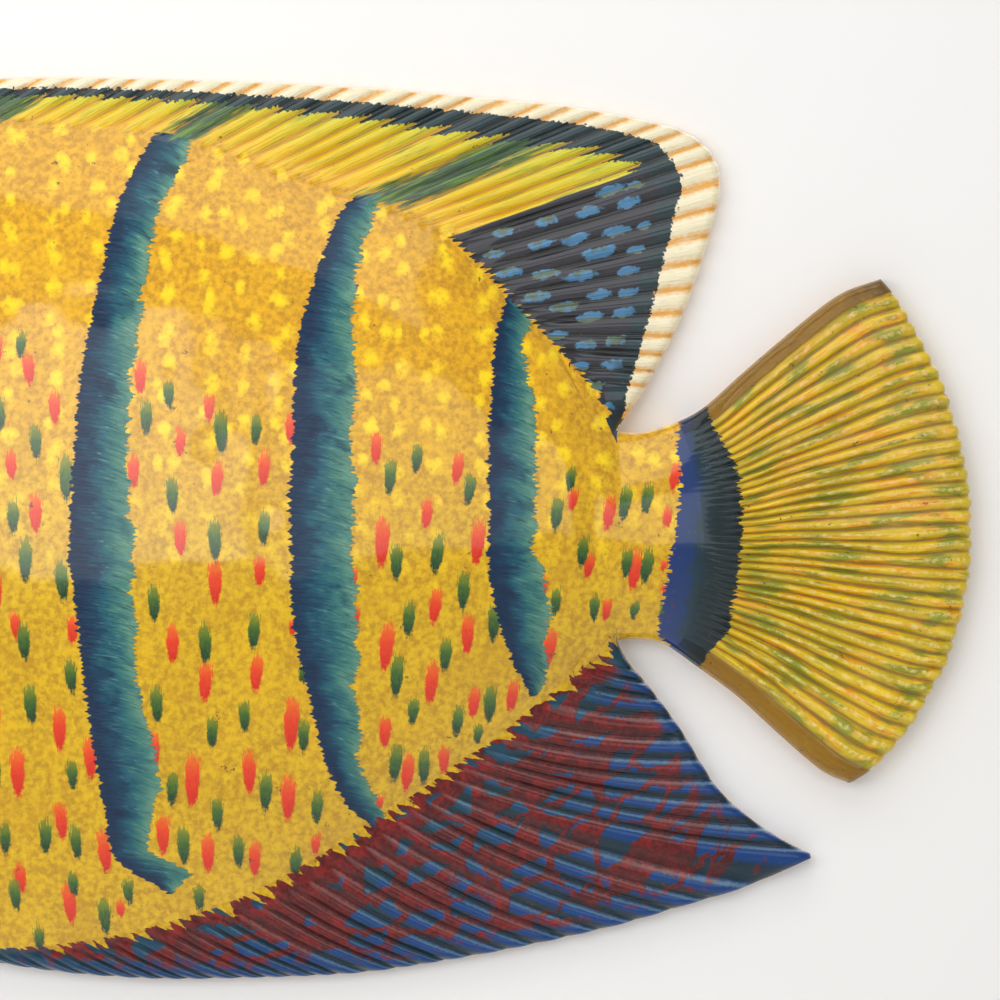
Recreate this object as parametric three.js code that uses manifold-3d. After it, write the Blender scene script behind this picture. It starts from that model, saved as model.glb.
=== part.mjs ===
// A tropical fish carved from one board and painted, made to hang on a wall.
//
// Units are millimetres. X runs from the head to the tail, Z is up, and the carved face looks
// along -Y. The flat back lies in the plane y = 0, and the origin is the place on it that is
// behind the fish's centre of mass.
//
// The face is a grid. Its columns run across the fish, one at each crest and each valley of the
// ribs carved in the fins. A column crosses the fin of the belly, the body and the fin of the
// back. Ribs are counted from the notches in front of the tail towards the head.

import * as THREE from 'three';
import { mergeVertices } from 'three/addons/utils/BufferGeometryUtils.js';
import Module from 'manifold-3d';

const wasm = await Module();
wasm.setup();

const BACK_FIN_RIBS = 48;
const BELLY_FIN_RIBS = 42;
const SNOUT_RIB = 62;
const TAIL_RIBS = 33;
const FIN_RIB_DEPTH = 1.5;
const TAIL_RIB_DEPTH = 1.3;
const RIB_FADE = 0.25;
const RAY_BOW = 0.04;
const DOME_POWER = 0.85;

// The outer edge is rounded over. The tail keeps a plain band along its two sides.
const EDGE_ROUND = 2.2;
const EDGE_BAND = 3.2;
const SHORTEST_RAY = 2 * EDGE_BAND;

// The tail's ribs fade in over so many stations, and each valley leaves a notch in the rim.
const TAIL_RIB_START = 3;
const TAIL_RIB_FADE = 0.8;
const TAIL_SCALLOP = 0.4;
const TAIL_SCALLOP_FADE = 0.3;

// How finely the face is cut into rows and columns.
const BODY_ROWS = 14;
const FIN_ROWS = 3;
const TAIL_COLUMNS = [0, 0.8, 1.6, 2.3, 3, 3.4, 4.2, 5, 5.8, 6.5, 6.84, 7];

// Outlines as [rib, x, z]. Between the points they are smooth curves.
const BACK_EDGE = [
  [0, 125.25, 22.25], [1, 131.25, 31], [3, 136, 39.25], [5, 141, 49.25], [7, 145.75, 61.75],
  [9, 150, 76], [10, 151.4, 82.25], [11, 151, 88.25], [12, 148.75, 92.75], [13, 144.5, 96.4],
  [14, 139, 98.75], [16, 125.25, 101.9], [18, 109.75, 104.4], [24, 62.75, 108.6],
  [30, 16, 110.75], [36, -30.5, 111], [42, -76.5, 107.25], [45, -98.5, 101.75],
  [48, -119.5, 92], [51, -138, 75.5], [54, -152.75, 53.5], [57, -162, 28.75],
  [60, -166, 9.5], [61, -169, 5], [62, -172.5, 2.5],
];
const BACK_BASE = [
  [0, 125.25, 19.05], [1, 119.25, 32], [2, 116, 36], [4, 108.5, 44.75], [6, 101.75, 51.25],
  [9, 92.5, 61.25], [11, 86.25, 67.75], [12, 82.75, 70.5], [14, 75, 74.25], [16, 66.5, 77.25],
  [21, 42.75, 85.25], [27, 13, 94.25], [30, -7.5, 96.75], [36, -51, 98.5], [42, -91, 94.5],
  [45, -108.5, 88.5], [48, -122.5, 80.5], [51, -136, 71.5], [54, -150, 51.5], [57, -159, 28],
  [60, -163.25, 7.5], [61, -166.5, 2.75], [62, -171, -0.5],
];
const BELLY_BASE = [
  [0, 125.25, -27.05], [1, 121.5, -33], [3, 115.5, -37.75], [5, 103.5, -47.25],
  [7, 93.5, -55.5], [9, 86.5, -59.75], [12, 76.75, -67], [15, 65.5, -74], [18, 52.5, -82.75],
  [21, 39, -90.5], [24, 25.5, -96.5], [30, -1.5, -104], [36, -29.5, -107], [39, -44.5, -106],
  [42, -61, -102], [45, -78.5, -93.75], [48, -97.5, -82.5], [51, -115.75, -67.75],
  [54, -134, -49.5], [57, -151, -29.5], [60, -162, -14], [61, -166, -10], [62, -171, -6.75],
];
const BELLY_FIN_REAR_EDGE = [
  [0, 125.25, -30.25], [1, 128, -35.25], [3, 134, -42.5], [5, 141.25, -52.25],
  [7, 147.5, -62.5], [8, 151.5, -68.25], [9, 158, -74.25], [10, 166.75, -80.25],
  [11, 175.25, -84.5],
];
const BELLY_EDGE = [
  [11, 175.25, -84.5], [11.5, 163, -90.25], [12, 154.25, -93.5], [13, 143.25, -96.75],
  [15, 125.25, -102], [18, 100.5, -107.5], [21, 79.5, -111.25], [24, 59.25, -114],
  [30, 21, -115.4], [33, 2, -115], [36, -17.5, -113.25], [39, -38, -109.75],
  [42, -58.5, -104.5], [45, -78.5, -97], [48, -98, -85.75], [51, -116.75, -71],
  [54, -135.25, -52.5], [57, -152.5, -32], [60, -163.75, -16.5], [61, -168.25, -12.5],
  [62, -172.5, -9.75],
];

// The tail's stations as [x, z] of its lower and upper edge and the bulge of the column between
// them. The first is at the notches and the last is the rim.
const TAIL_STATIONS = [
  { lower: [125.25, -30.25], upper: [125.25, 22.25], bulge: 0 },
  { lower: [131, -30], upper: [131, 22], bulge: 1.5 },
  { lower: [137.25, -31.25], upper: [138, 23.75], bulge: 5 },
  { lower: [145, -36.5], upper: [146.5, 27.75], bulge: 11 },
  { lower: [155.5, -44.25], upper: [157, 37], bulge: 15 },
  { lower: [166.5, -54.25], upper: [169, 47.25], bulge: 20 },
  { lower: [176.5, -62.75], upper: [181, 56.5], bulge: 25 },
  { lower: [183.5, -66], upper: [191.5, 60.5], bulge: 27.2 },
];
const RIM_STATION = TAIL_STATIONS.length - 1;
const TAIL_LEAN = { lower: 0.75, upper: 0.9 };

// Heights of the carving above the flat back, as [rib, height] and [station, height].
const BODY_CREST = [
  [0, 17], [4, 20.5], [8, 23.5], [12, 25.5], [18, 27], [27, 28], [36, 28], [42, 27.5], [48, 25.5],
  [51, 23.5], [54, 21], [57, 18], [60, 14.5], [62, 11.5],
];
const FIN_ROOT = [[0, 7.5], [3, 8.5], [8, 9.5], [40, 9.5], [48, 8.5], [54, 7.5], [62, 7]];
const FIN_TIP = [[0, 7], [3, 6], [8, 5.5], [40, 5.5], [48, 6.5], [54, 7], [62, 6.8]];
const TAIL_CREST = [[0, 17], [2, 15], [3, 12.5], [4, 11], [5, 9.5], [6, 8.5], [7, 7.6]];
const TAIL_SIDE = [[0, 7], [3, 7.2], [7, 7]];

// The head's carving. Places on the body are [rib, share of the way from belly to back]. The
// eye's profile is [distance from its middle, height above the body].
const EYE_PLACE = [51, 0.67];
const EYE_PROFILE = [
  [9.5, 0.8], [8.7, 1.8], [7.5, 2], [6.9, 1.4], [6.1, 2.4], [4, 2.9], [0, 3],
];
const GILL = { rib: 50, sweep: 4.5, low: 0.1, high: 0.84, depth: 7, lift: 2, frontSink: 0.45 };
const PECTORAL = { root: [44.6, 0.47], tip: [36.6, 0.4], halfWidth: 0.075, lift: 2, rays: 7 };
const PELVIC = { root: [45.6, 0.12], tip: [39.8, 0.055], halfWidth: 0.034, lift: 1.6, rays: 5 };
const SIDE_FIN_RIB_DEPTH = 0.7;
const MOUTH = { length: 11, height: -4.5, gape: 1.3, start: 3, floor: 7, depth: 20 };

// How deep the pieces of low relief reach into the body to be joined with it.
const RELIEF_SINK = 3;
const EYE_SINK = 6;

const NAIL_HOLE = { radius: 2, depth: 10, height: 62, sides: 16 };

// A smooth curve through rows of [place, value, ...], read at any place.
function curve(rows, column = 1) {
  const last = rows.length - 1;
  const slope = (i) => {
    const before = rows[Math.max(i - 1, 0)];
    const after = rows[Math.min(i + 1, last)];
    return (after[column] - before[column]) / (after[0] - before[0]);
  };
  return (place) => {
    let i = 0;
    while (i < last - 1 && place > rows[i + 1][0]) i += 1;
    const span = rows[i + 1][0] - rows[i][0];
    const f = THREE.MathUtils.clamp((place - rows[i][0]) / span, 0, 1);
    const g = 1 - f;
    return g * g * (1 + 2 * f) * rows[i][column] + f * f * (3 - 2 * f) * rows[i + 1][column]
      + f * g * span * (g * slope(i) - f * slope(i + 1));
  };
}

function planeCurve(rows) {
  const x = curve(rows, 1);
  const z = curve(rows, 2);
  return (place) => new THREE.Vector2(x(place), z(place));
}

const backEdge = planeCurve(BACK_EDGE);
const backBase = planeCurve(BACK_BASE);
const bellyBase = planeCurve(BELLY_BASE);
const bellyFinRearEdge = planeCurve(BELLY_FIN_REAR_EDGE);
const bellyFinLowerEdge = planeCurve(BELLY_EDGE);
const bellyFinTip = BELLY_EDGE[0][0];
const bellyEdge = (rib) => (rib < bellyFinTip ? bellyFinRearEdge(rib) : bellyFinLowerEdge(rib));

const tailEdge = (side) => planeCurve(TAIL_STATIONS.map((row, i) => [i, ...row[side]]));
const tailLower = tailEdge('lower');
const tailUpper = tailEdge('upper');
const tailBulge = curve(TAIL_STATIONS.map((row, i) => [i, row.bulge]));

const bodyCrest = curve(BODY_CREST);
const finRoot = curve(FIN_ROOT);
const finTip = curve(FIN_TIP);
const tailCrest = curve(TAIL_CREST);
const tailSide = curve(TAIL_SIDE);

const mix = THREE.MathUtils.lerp;
const dome = (share) => (4 * share * (1 - share)) ** DOME_POWER;

// How far below its crest a rib's surface is: none on the crest, all of it in the valley.
const valley = (rib) => 1 - Math.abs(Math.cos(Math.PI * rib));

// A point of a fin: share runs from its root on the body to its edge.
function finPoint(rib, share, root, edge, bow, ribs) {
  const from = root(rib);
  const to = edge(rib);
  const along = to.clone().sub(from);
  const aside = new THREE.Vector2(along.y, -along.x).multiplyScalar(bow * 4 * share * (1 - share));
  const place = from.lerp(to, share).add(aside);
  const fade = THREE.MathUtils.smoothstep(share, 0, RIB_FADE);
  const depth = rib < ribs && along.length() > SHORTEST_RAY ? FIN_RIB_DEPTH * fade : 0;
  const height = mix(finRoot(rib), finTip(rib), share) - depth * valley(rib);
  return { x: place.x, z: place.y, height };
}

function bodyPoint(rib, share) {
  const place = bellyBase(rib).lerp(backBase(rib), share);
  const height = mix(finRoot(rib), bodyCrest(rib), dome(share));
  return { x: place.x, z: place.y, height };
}

// The rows of a fin from its edge to its root, the first of them just inside the rounded edge.
function finShares(length) {
  const inside = Math.min(0.75 * EDGE_ROUND / length, 0.5);
  const rows = Array.from({ length: FIN_ROWS }, (_, i) => 1 - mix(inside, 1, i / FIN_ROWS));
  return [1, ...rows];
}

function bodyColumn(rib) {
  const belly = finShares(bellyEdge(rib).distanceTo(bellyBase(rib)));
  const back = finShares(backEdge(rib).distanceTo(backBase(rib)));
  const body = Array.from({ length: BODY_ROWS + 1 }, (_, i) => i / BODY_ROWS);
  return [
    ...belly.map((share) => finPoint(rib, share, bellyBase, bellyEdge, RAY_BOW, BELLY_FIN_RIBS)),
    ...body.map((share) => bodyPoint(rib, share)),
    ...back.reverse().map((share) => finPoint(rib, share, backBase, backEdge, 0, BACK_FIN_RIBS)),
  ];
}

// A tail column bulges towards the rim, a little more below its middle than above it.
const bulgeShape = (share) => share ** TAIL_LEAN.lower * (1 - share) ** TAIL_LEAN.upper;
const bulgePeak = bulgeShape(TAIL_LEAN.lower / (TAIL_LEAN.lower + TAIL_LEAN.upper));

function tailPlace(station, share) {
  const lean = bulgeShape(share) / bulgePeak;
  const place = tailLower(station).lerp(tailUpper(station), share);
  return place.add(new THREE.Vector2(tailBulge(station) * lean, 0));
}

function tailColumn(station) {
  const band = EDGE_BAND / tailLower(station).distanceTo(tailUpper(station));
  const edgeRows = finShares(EDGE_BAND).map((share) => band * (1 - share));
  const ribRows = Array.from({ length: 2 * TAIL_RIBS + 1 }, (_, i) => i / (2 * TAIL_RIBS));
  const start = THREE.MathUtils.smoothstep(station, TAIL_RIB_START, TAIL_RIB_START + TAIL_RIB_FADE);
  const rim = THREE.MathUtils.smoothstep(station, RIM_STATION - TAIL_SCALLOP_FADE, RIM_STATION);
  const point = (share, lowered) => {
    const place = tailPlace(station, share);
    const height = mix(tailSide(station), tailCrest(station), dome(share))
      - lowered * start * TAIL_RIB_DEPTH;
    return { x: place.x - lowered * rim * TAIL_SCALLOP, z: place.y, height };
  };
  return [
    ...edgeRows.map((share) => point(share, 0)),
    ...ribRows.map((row) => point(mix(band, 1 - band, row), valley(TAIL_RIBS * row + 0.5))),
    ...edgeRows.reverse().map((share) => point(1 - share, 0)),
  ];
}

// Where a column's rows stand between its first and its last, for stitching two that differ.
function rowPlaces(column, middleRows) {
  const edge = FIN_ROWS + 1;
  return column.map((_, i) => {
    if (i < edge) return i - edge;
    if (i > edge + middleRows) return i - edge - middleRows + 1;
    return (i - edge) / middleRows;
  });
}

function ribPlaces() {
  const places = [SNOUT_RIB, SNOUT_RIB - 0.35, SNOUT_RIB - 1];
  for (let rib = SNOUT_RIB - 2; rib > BACK_FIN_RIBS; rib -= 1) places.push(rib);
  for (let rib = BACK_FIN_RIBS; rib > 0; rib -= 0.5) places.push(rib);
  return places;
}

// The carved face as points and triangles, and its outline as a ring of point numbers.
function carvedFace() {
  const points = [];
  const triangles = [];
  const add = (column) => column.map((point) => points.push(point) - 1);
  const body = ribPlaces().map((rib) => add(bodyColumn(rib)));
  const tail = TAIL_COLUMNS.map((station) => add(tailColumn(station)));
  const grid = (columns) => {
    for (let c = 1; c < columns.length; c += 1) {
      for (let r = 1; r < columns[c].length; r += 1) {
        const [a, b] = [columns[c - 1][r - 1], columns[c][r - 1]];
        const [d, e] = [columns[c - 1][r], columns[c][r]];
        triangles.push([a, b, e], [a, e, d]);
      }
    }
  };
  grid(body);
  grid(tail);
  const left = body[body.length - 1];
  const right = tail[0];
  const leftPlaces = rowPlaces(left, BODY_ROWS);
  const rightPlaces = rowPlaces(right, 2 * TAIL_RIBS);
  let i = 0;
  let j = 0;
  while (i < left.length - 1 || j < right.length - 1) {
    const nextLeft = i < left.length - 1 ? leftPlaces[i + 1] : Infinity;
    const nextRight = j < right.length - 1 ? rightPlaces[j + 1] : Infinity;
    if (nextRight <= nextLeft) {
      triangles.push([left[i], right[j], right[j + 1]]);
      j += 1;
    } else {
      triangles.push([left[i], right[j], left[i + 1]]);
      i += 1;
    }
  }
  const columns = [...body, ...tail];
  const outline = [
    ...columns.map((column) => column[0]),
    ...columns[columns.length - 1].slice(1, -1),
    ...columns.map((column) => column[column.length - 1]).reverse(),
    ...columns[0].slice(1, -1).reverse(),
  ];
  roundEdge(points, outline);
  return { points, triangles, outline };
}

// Rounds the face over to the outline: a quarter circle by the distance from the nearest edge.
function roundEdge(points, outline) {
  const corners = outline.map((n) => new THREE.Vector3(points[n].x, 0, points[n].z));
  const edges = corners.map((from, n) => new THREE.Line3(from, corners[(n + 1) % corners.length]));
  const nearest = new THREE.Vector3();
  for (const point of points) {
    const place = new THREE.Vector3(point.x, 0, point.z);
    const distances = edges.map((edge) => {
      edge.closestPointToPoint(place, true, nearest);
      return nearest.distanceTo(place);
    });
    const inward = Math.max(EDGE_ROUND - Math.min(...distances), 0);
    point.height -= EDGE_ROUND - Math.sqrt(EDGE_ROUND ** 2 - inward ** 2);
  }
}

// A closed solid under a face of points, down to a flat back at y = -level.
function solidUnder({ points, triangles, outline }, level) {
  const vertices = points.map((point) => [point.x, -point.height, point.z]);
  const ring = outline.map((n) => vertices.push([points[n].x, -level, points[n].z]) - 1);
  const faces = [...triangles];
  outline.forEach((n, i) => {
    const next = (i + 1) % outline.length;
    faces.push([n, ring[i], ring[next]], [n, ring[next], outline[next]]);
  });
  const flat = outline.map((n) => new THREE.Vector2(points[n].x, points[n].z));
  for (const [a, b, c] of THREE.ShapeUtils.triangulateShape(flat, [])) {
    faces.push([ring[a], ring[c], ring[b]]);
  }
  const geometry = new THREE.BufferGeometry();
  geometry.setAttribute('position', new THREE.Float32BufferAttribute(vertices.flat(), 3));
  geometry.setIndex(faces.flat());
  return toSolid(geometry);
}

function toSolid(geometry) {
  geometry.deleteAttribute('normal');
  geometry.deleteAttribute('uv');
  const merged = mergeVertices(geometry, 1e-4);
  return new wasm.Manifold(new wasm.Mesh({
    numProp: 3,
    vertProperties: new Float32Array(merged.attributes.position.array),
    triVerts: new Uint32Array(merged.index.array),
  }));
}

function toGeometry(solid) {
  const { numProp, vertProperties, triVerts } = solid.getMesh();
  const geometry = new THREE.BufferGeometry();
  geometry.setAttribute('position', new THREE.Float32BufferAttribute(vertProperties, numProp));
  geometry.setIndex(new THREE.Uint32BufferAttribute(triVerts, 1));
  geometry.computeVertexNormals();
  return geometry;
}

// Low relief on the body: a grid of places with a lift above the body's surface.
function relief(columns, rows, placeAt, liftAt) {
  const points = [];
  const triangles = [];
  let least = Infinity;
  for (let c = 0; c <= columns; c += 1) {
    for (let r = 0; r <= rows; r += 1) {
      const point = bodyPoint(...placeAt(c / columns, r / rows));
      least = Math.min(least, point.height);
      point.height += liftAt(c / columns, r / rows);
      points.push(point);
    }
  }
  const at = (c, r) => c * (rows + 1) + r;
  for (let c = 1; c <= columns; c += 1) {
    for (let r = 1; r <= rows; r += 1) {
      triangles.push([at(c - 1, r - 1), at(c, r - 1), at(c, r)]);
      triangles.push([at(c - 1, r - 1), at(c, r), at(c - 1, r)]);
    }
  }
  const count = (n, step) => Array.from({ length: n }, (_, i) => step(i));
  const outline = [
    ...count(columns, (i) => at(i, 0)),
    ...count(rows, (i) => at(columns, i)),
    ...count(columns, (i) => at(columns - i, rows)),
    ...count(rows, (i) => at(0, rows - i)),
  ];
  return solidUnder({ points, triangles, outline }, least - RELIEF_SINK);
}

// A side fin folded against the body: a leaf of rays, widest two thirds of the way to its tip.
function sideFin({ root, tip, halfWidth, lift, rays }) {
  const width = (share) => halfWidth * (0.28 + 0.72 * Math.sin(Math.PI * share ** 1.5 * 0.93));
  return relief(
    10,
    2 * rays,
    (along, across) => [
      mix(root[0], tip[0], along),
      mix(root[1], tip[1], along) + width(along) * (2 * across - 1),
    ],
    (along, across) => lift * (1 - 0.5 * along) - SIDE_FIN_RIB_DEPTH * valley(rays * across + 0.5),
  );
}

// The gill cover: its rear edge stands proud of the body, and it sinks into the cheek in front.
function gillCover() {
  return relief(
    4,
    14,
    (forward, up) => {
      const edge = GILL.rib - GILL.sweep * Math.sin(Math.PI * up) ** 0.8;
      return [edge + GILL.depth * (1 - forward), mix(GILL.low, GILL.high, up)];
    },
    (forward, up) => mix(-GILL.frontSink, GILL.lift * Math.sin(Math.PI * up) ** 0.5, forward),
  );
}

function eye() {
  const place = bodyPoint(...EYE_PLACE);
  const profile = [[0, -EYE_SINK], [EYE_PROFILE[0][0], -EYE_SINK], ...EYE_PROFILE];
  const points = profile.map(([radius, rise]) => new THREE.Vector2(radius, place.height + rise));
  const lathe = new THREE.LatheGeometry(points, 24);
  lathe.rotateX(Math.PI);
  lathe.translate(place.x, 0, place.z);
  return toSolid(lathe);
}

// A wedge between the lips, from in front of the snout to the corner of the mouth.
function mouthCut() {
  const { length, height, gape, start, floor, depth } = MOUTH;
  const snout = BACK_EDGE[BACK_EDGE.length - 1][1];
  const wedge = new THREE.Shape([
    new THREE.Vector2(snout - start, height + gape),
    new THREE.Vector2(snout - start, height - gape),
    new THREE.Vector2(snout + length, height - 2 * gape),
  ]);
  const geometry = new THREE.ExtrudeGeometry(wedge, { depth, bevelEnabled: false });
  geometry.rotateX(Math.PI / 2);
  geometry.translate(0, -floor, 0);
  return toSolid(geometry);
}

function nailHole() {
  const { radius, depth, height, sides } = NAIL_HOLE;
  const geometry = new THREE.CylinderGeometry(radius, radius, 2 * depth, sides);
  geometry.translate(0, 0, height);
  return toSolid(geometry);
}

const carving = solidUnder(carvedFace(), 0)
  .add(gillCover())
  .add(sideFin(PECTORAL))
  .add(sideFin(PELVIC))
  .add(eye())
  .subtract(mouthCut())
  .subtract(nailHole());

const paint = new THREE.MeshStandardMaterial({ color: 0xd9a514, roughness: 0.3, metalness: 0 });
const fish = new THREE.Mesh(toGeometry(carving), paint);
fish.name = 'fish';

const sculpture = new THREE.Group();
sculpture.add(fish);

export default sculpture;
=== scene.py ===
"""A tropical fish carved in relief from one board, painted by hand and varnished, flat against a wall.

The tables are in millimetres, in the part's own frame: X runs from the head to the tail, Z is up,
and the carved face looks along -Y. The mesh is in metres. Heights are above the flat back.

The face is one grid. Its columns run across the fish from the belly to the back and are numbered by
the ribs of the fins, counted from the notches in front of the tail towards the head. The place in a
column is called across: -1 to 0 is the belly's fin, 0 to 1 the body, and 1 to 2 the back's fin.
"""

import bpy
import numpy as np
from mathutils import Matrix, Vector


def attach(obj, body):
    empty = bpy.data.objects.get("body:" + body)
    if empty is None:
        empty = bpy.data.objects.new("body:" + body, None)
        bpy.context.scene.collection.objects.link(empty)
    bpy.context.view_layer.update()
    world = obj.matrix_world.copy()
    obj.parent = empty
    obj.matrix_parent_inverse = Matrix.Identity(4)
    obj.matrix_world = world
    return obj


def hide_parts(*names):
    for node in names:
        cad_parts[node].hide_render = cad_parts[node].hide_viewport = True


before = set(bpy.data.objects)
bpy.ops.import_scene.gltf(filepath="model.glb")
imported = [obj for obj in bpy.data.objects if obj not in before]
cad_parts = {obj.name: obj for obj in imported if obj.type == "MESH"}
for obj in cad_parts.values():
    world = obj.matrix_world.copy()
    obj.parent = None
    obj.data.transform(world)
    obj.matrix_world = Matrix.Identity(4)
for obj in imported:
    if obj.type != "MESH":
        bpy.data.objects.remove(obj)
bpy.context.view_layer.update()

MM = 0.001

# The carving's form.
BACK_FIN_RIBS = 48
BELLY_FIN_RIBS = 42
SNOUT_RIB = 62
TAIL_RIBS = 33
FIN_RIB_DEPTH = 1.5
TAIL_RIB_DEPTH = 1.3
RIB_FADE = 0.25
RAY_BOW = 0.04
DOME_POWER = 0.85
EDGE_ROUND = 2.2
EDGE_BAND = 3.2
TAIL_RIB_START = 2.5
BULGE_LOWER = 0.75
BULGE_UPPER = 0.9
WALL_FOOT = 0.6

# How finely it is cut.
STEPS_PER_RIB = 6
EDGE_STEPS = 6
BELLY_FIN_STEPS = 34
BODY_STEPS = 142
BACK_FIN_STEPS = 36
TAIL_BAND_STEPS = 7
STEPS_PER_TAIL_RIB = 6
COLUMN_STEPS = BELLY_FIN_STEPS + BODY_STEPS + BACK_FIN_STEPS

# Outlines as (rib, x, z).
BACK_EDGE = [
    (0, 125.25, 22.25), (1, 131.25, 31), (3, 136, 39.25), (5, 141, 49.25), (7, 145.75, 61.75),
    (9, 150, 76), (10, 151.4, 82.25), (11, 151, 88.25), (12, 148.75, 92.75), (13, 144.5, 96.4),
    (14, 139, 98.75), (16, 125.25, 101.9), (18, 109.75, 104.4), (24, 62.75, 108.6),
    (30, 16, 110.75), (36, -30.5, 111), (42, -76.5, 107.25), (45, -98.5, 101.75),
    (48, -119.5, 92), (51, -138, 75.5), (54, -152.75, 53.5), (57, -162, 28.75),
    (60, -166, 9.5), (61, -169, 5), (62, -172.5, 2.5),
]
BACK_BASE = [
    (0, 125.25, 19.05), (1, 119.25, 32), (2, 116, 36), (4, 108.5, 44.75), (6, 101.75, 51.25),
    (9, 92.5, 61.25), (11, 86.25, 67.75), (12, 82.75, 70.5), (14, 75, 74.25), (16, 66.5, 77.25),
    (21, 42.75, 85.25), (27, 13, 94.25), (30, -7.5, 96.75), (36, -51, 98.5), (42, -91, 94.5),
    (45, -108.5, 88.5), (48, -122.5, 80.5), (51, -136, 71.5), (54, -150, 51.5), (57, -159, 28),
    (60, -163.25, 7.5), (61, -166.5, 2.75), (62, -171, -0.5),
]
BELLY_BASE = [
    (0, 125.25, -27.05), (1, 121.5, -33), (3, 115.5, -37.75), (5, 103.5, -47.25),
    (7, 93.5, -55.5), (9, 86.5, -59.75), (12, 76.75, -67), (15, 65.5, -74), (18, 52.5, -82.75),
    (21, 39, -90.5), (24, 25.5, -96.5), (30, -1.5, -104), (36, -29.5, -107), (39, -44.5, -106),
    (42, -61, -102), (45, -78.5, -93.75), (48, -97.5, -82.5), (51, -115.75, -67.75),
    (54, -134, -49.5), (57, -151, -29.5), (60, -162, -14), (61, -166, -10), (62, -171, -6.75),
]
BELLY_FIN_REAR_EDGE = [
    (0, 125.25, -30.25), (1, 128, -35.25), (3, 134, -42.5), (5, 141.25, -52.25),
    (7, 147.5, -62.5), (8, 151.5, -68.25), (9, 158, -74.25), (10, 166.75, -80.25),
    (11, 175.25, -84.5),
]
BELLY_EDGE = [
    (11, 175.25, -84.5), (11.5, 163, -90.25), (12, 154.25, -93.5), (13, 143.25, -96.75),
    (15, 125.25, -102), (18, 100.5, -107.5), (21, 79.5, -111.25), (24, 59.25, -114),
    (30, 21, -115.4), (33, 2, -115), (36, -17.5, -113.25), (39, -38, -109.75),
    (42, -58.5, -104.5), (45, -78.5, -97), (48, -98, -85.75), (51, -116.75, -71),
    (54, -135.25, -52.5), (57, -152.5, -32), (60, -163.75, -16.5), (61, -168.25, -12.5),
    (62, -172.5, -9.75),
]

# The tail's stations from the notches to the rim, as (station, x, z) and (station, bulge).
TAIL_LOWER = [
    (0, 125.25, -30.25), (1, 131, -30), (2, 137.25, -31.25), (3, 145, -36.5),
    (4, 155.5, -44.25), (5, 166.5, -54.25), (6, 176.5, -62.75), (7, 183.5, -66),
]
TAIL_UPPER = [
    (0, 125.25, 22.25), (1, 131, 22), (2, 138, 23.75), (3, 146.5, 27.75),
    (4, 157, 37), (5, 169, 47.25), (6, 181, 56.5), (7, 191.5, 60.5),
]
TAIL_BULGE = [(0, 0), (1, 1.5), (2, 5), (3, 11), (4, 15), (5, 20), (6, 25), (7, 27.2)]
RIM_STATION = 7

# Heights as (rib, height) and (station, height).
BODY_CREST = [
    (0, 17), (4, 20.5), (8, 23.5), (12, 25.5), (18, 27), (27, 28), (36, 28), (42, 27.5),
    (48, 25.5), (51, 23.5), (54, 21), (57, 18), (60, 14.5), (62, 11.5),
]
FIN_ROOT = [(0, 7.5), (3, 8.5), (8, 9.5), (40, 9.5), (48, 8.5), (54, 7.5), (62, 7)]
FIN_TIP = [(0, 7), (3, 6), (8, 5.5), (40, 5.5), (48, 6.5), (54, 7), (62, 6.8)]
TAIL_CREST = [(0, 17), (2, 15), (3, 12.5), (4, 11), (5, 9.5), (6, 8.5), (7, 7.6)]
TAIL_SIDE = [(0, 7), (3, 7.2), (7, 7)]

# The head's carving, with places on the body as (rib, share of the way from belly to back).
EYE_PLACE = (51, 0.67)
EYE_PROFILE = [(0, 3), (4, 2.9), (6.1, 2.4), (6.9, 1.4), (7.5, 2), (8.7, 1.8), (9.5, 0.6), (10, -1)]
GILL = {"rib": 50, "sweep": 4.5, "low": 0.1, "high": 0.84, "depth": 7, "lift": 2}
PECTORAL = {"root": (44.6, 0.47), "tip": (36.6, 0.4), "half_width": 0.075, "lift": 2, "rays": 7}
PELVIC = {"root": (45.6, 0.12), "tip": (39.8, 0.055), "half_width": 0.034, "lift": 1.6, "rays": 5}
MOUTH = {"height": -4.5, "corner": -161.5, "depth": 2.6}

NAIL_HOLE = {"radius": 2, "depth": 10, "height": 62, "sides": 24}

# Where the paint changes, as (rib, width): the pale rim of the back's fin and the dark line in it.
PALE_RIM = [
    (0, 0), (0.5, 1), (1, 3.5), (3, 5.2), (5, 7.3), (7, 9), (9, 9.8), (10.5, 10), (12, 8.5), (13, 6),
    (14, 4.7), (16, 4.4), (20, 4.2), (24, 4), (27, 3.7), (30, 3.1), (36, 3), (62, 2.6),
]
DARK_LINE = [
    (0, 3), (12, 5), (14, 6), (18, 6), (20, 5.2), (24, 3.6), (30, 2.5), (36, 2.2), (62, 2),
]

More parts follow.
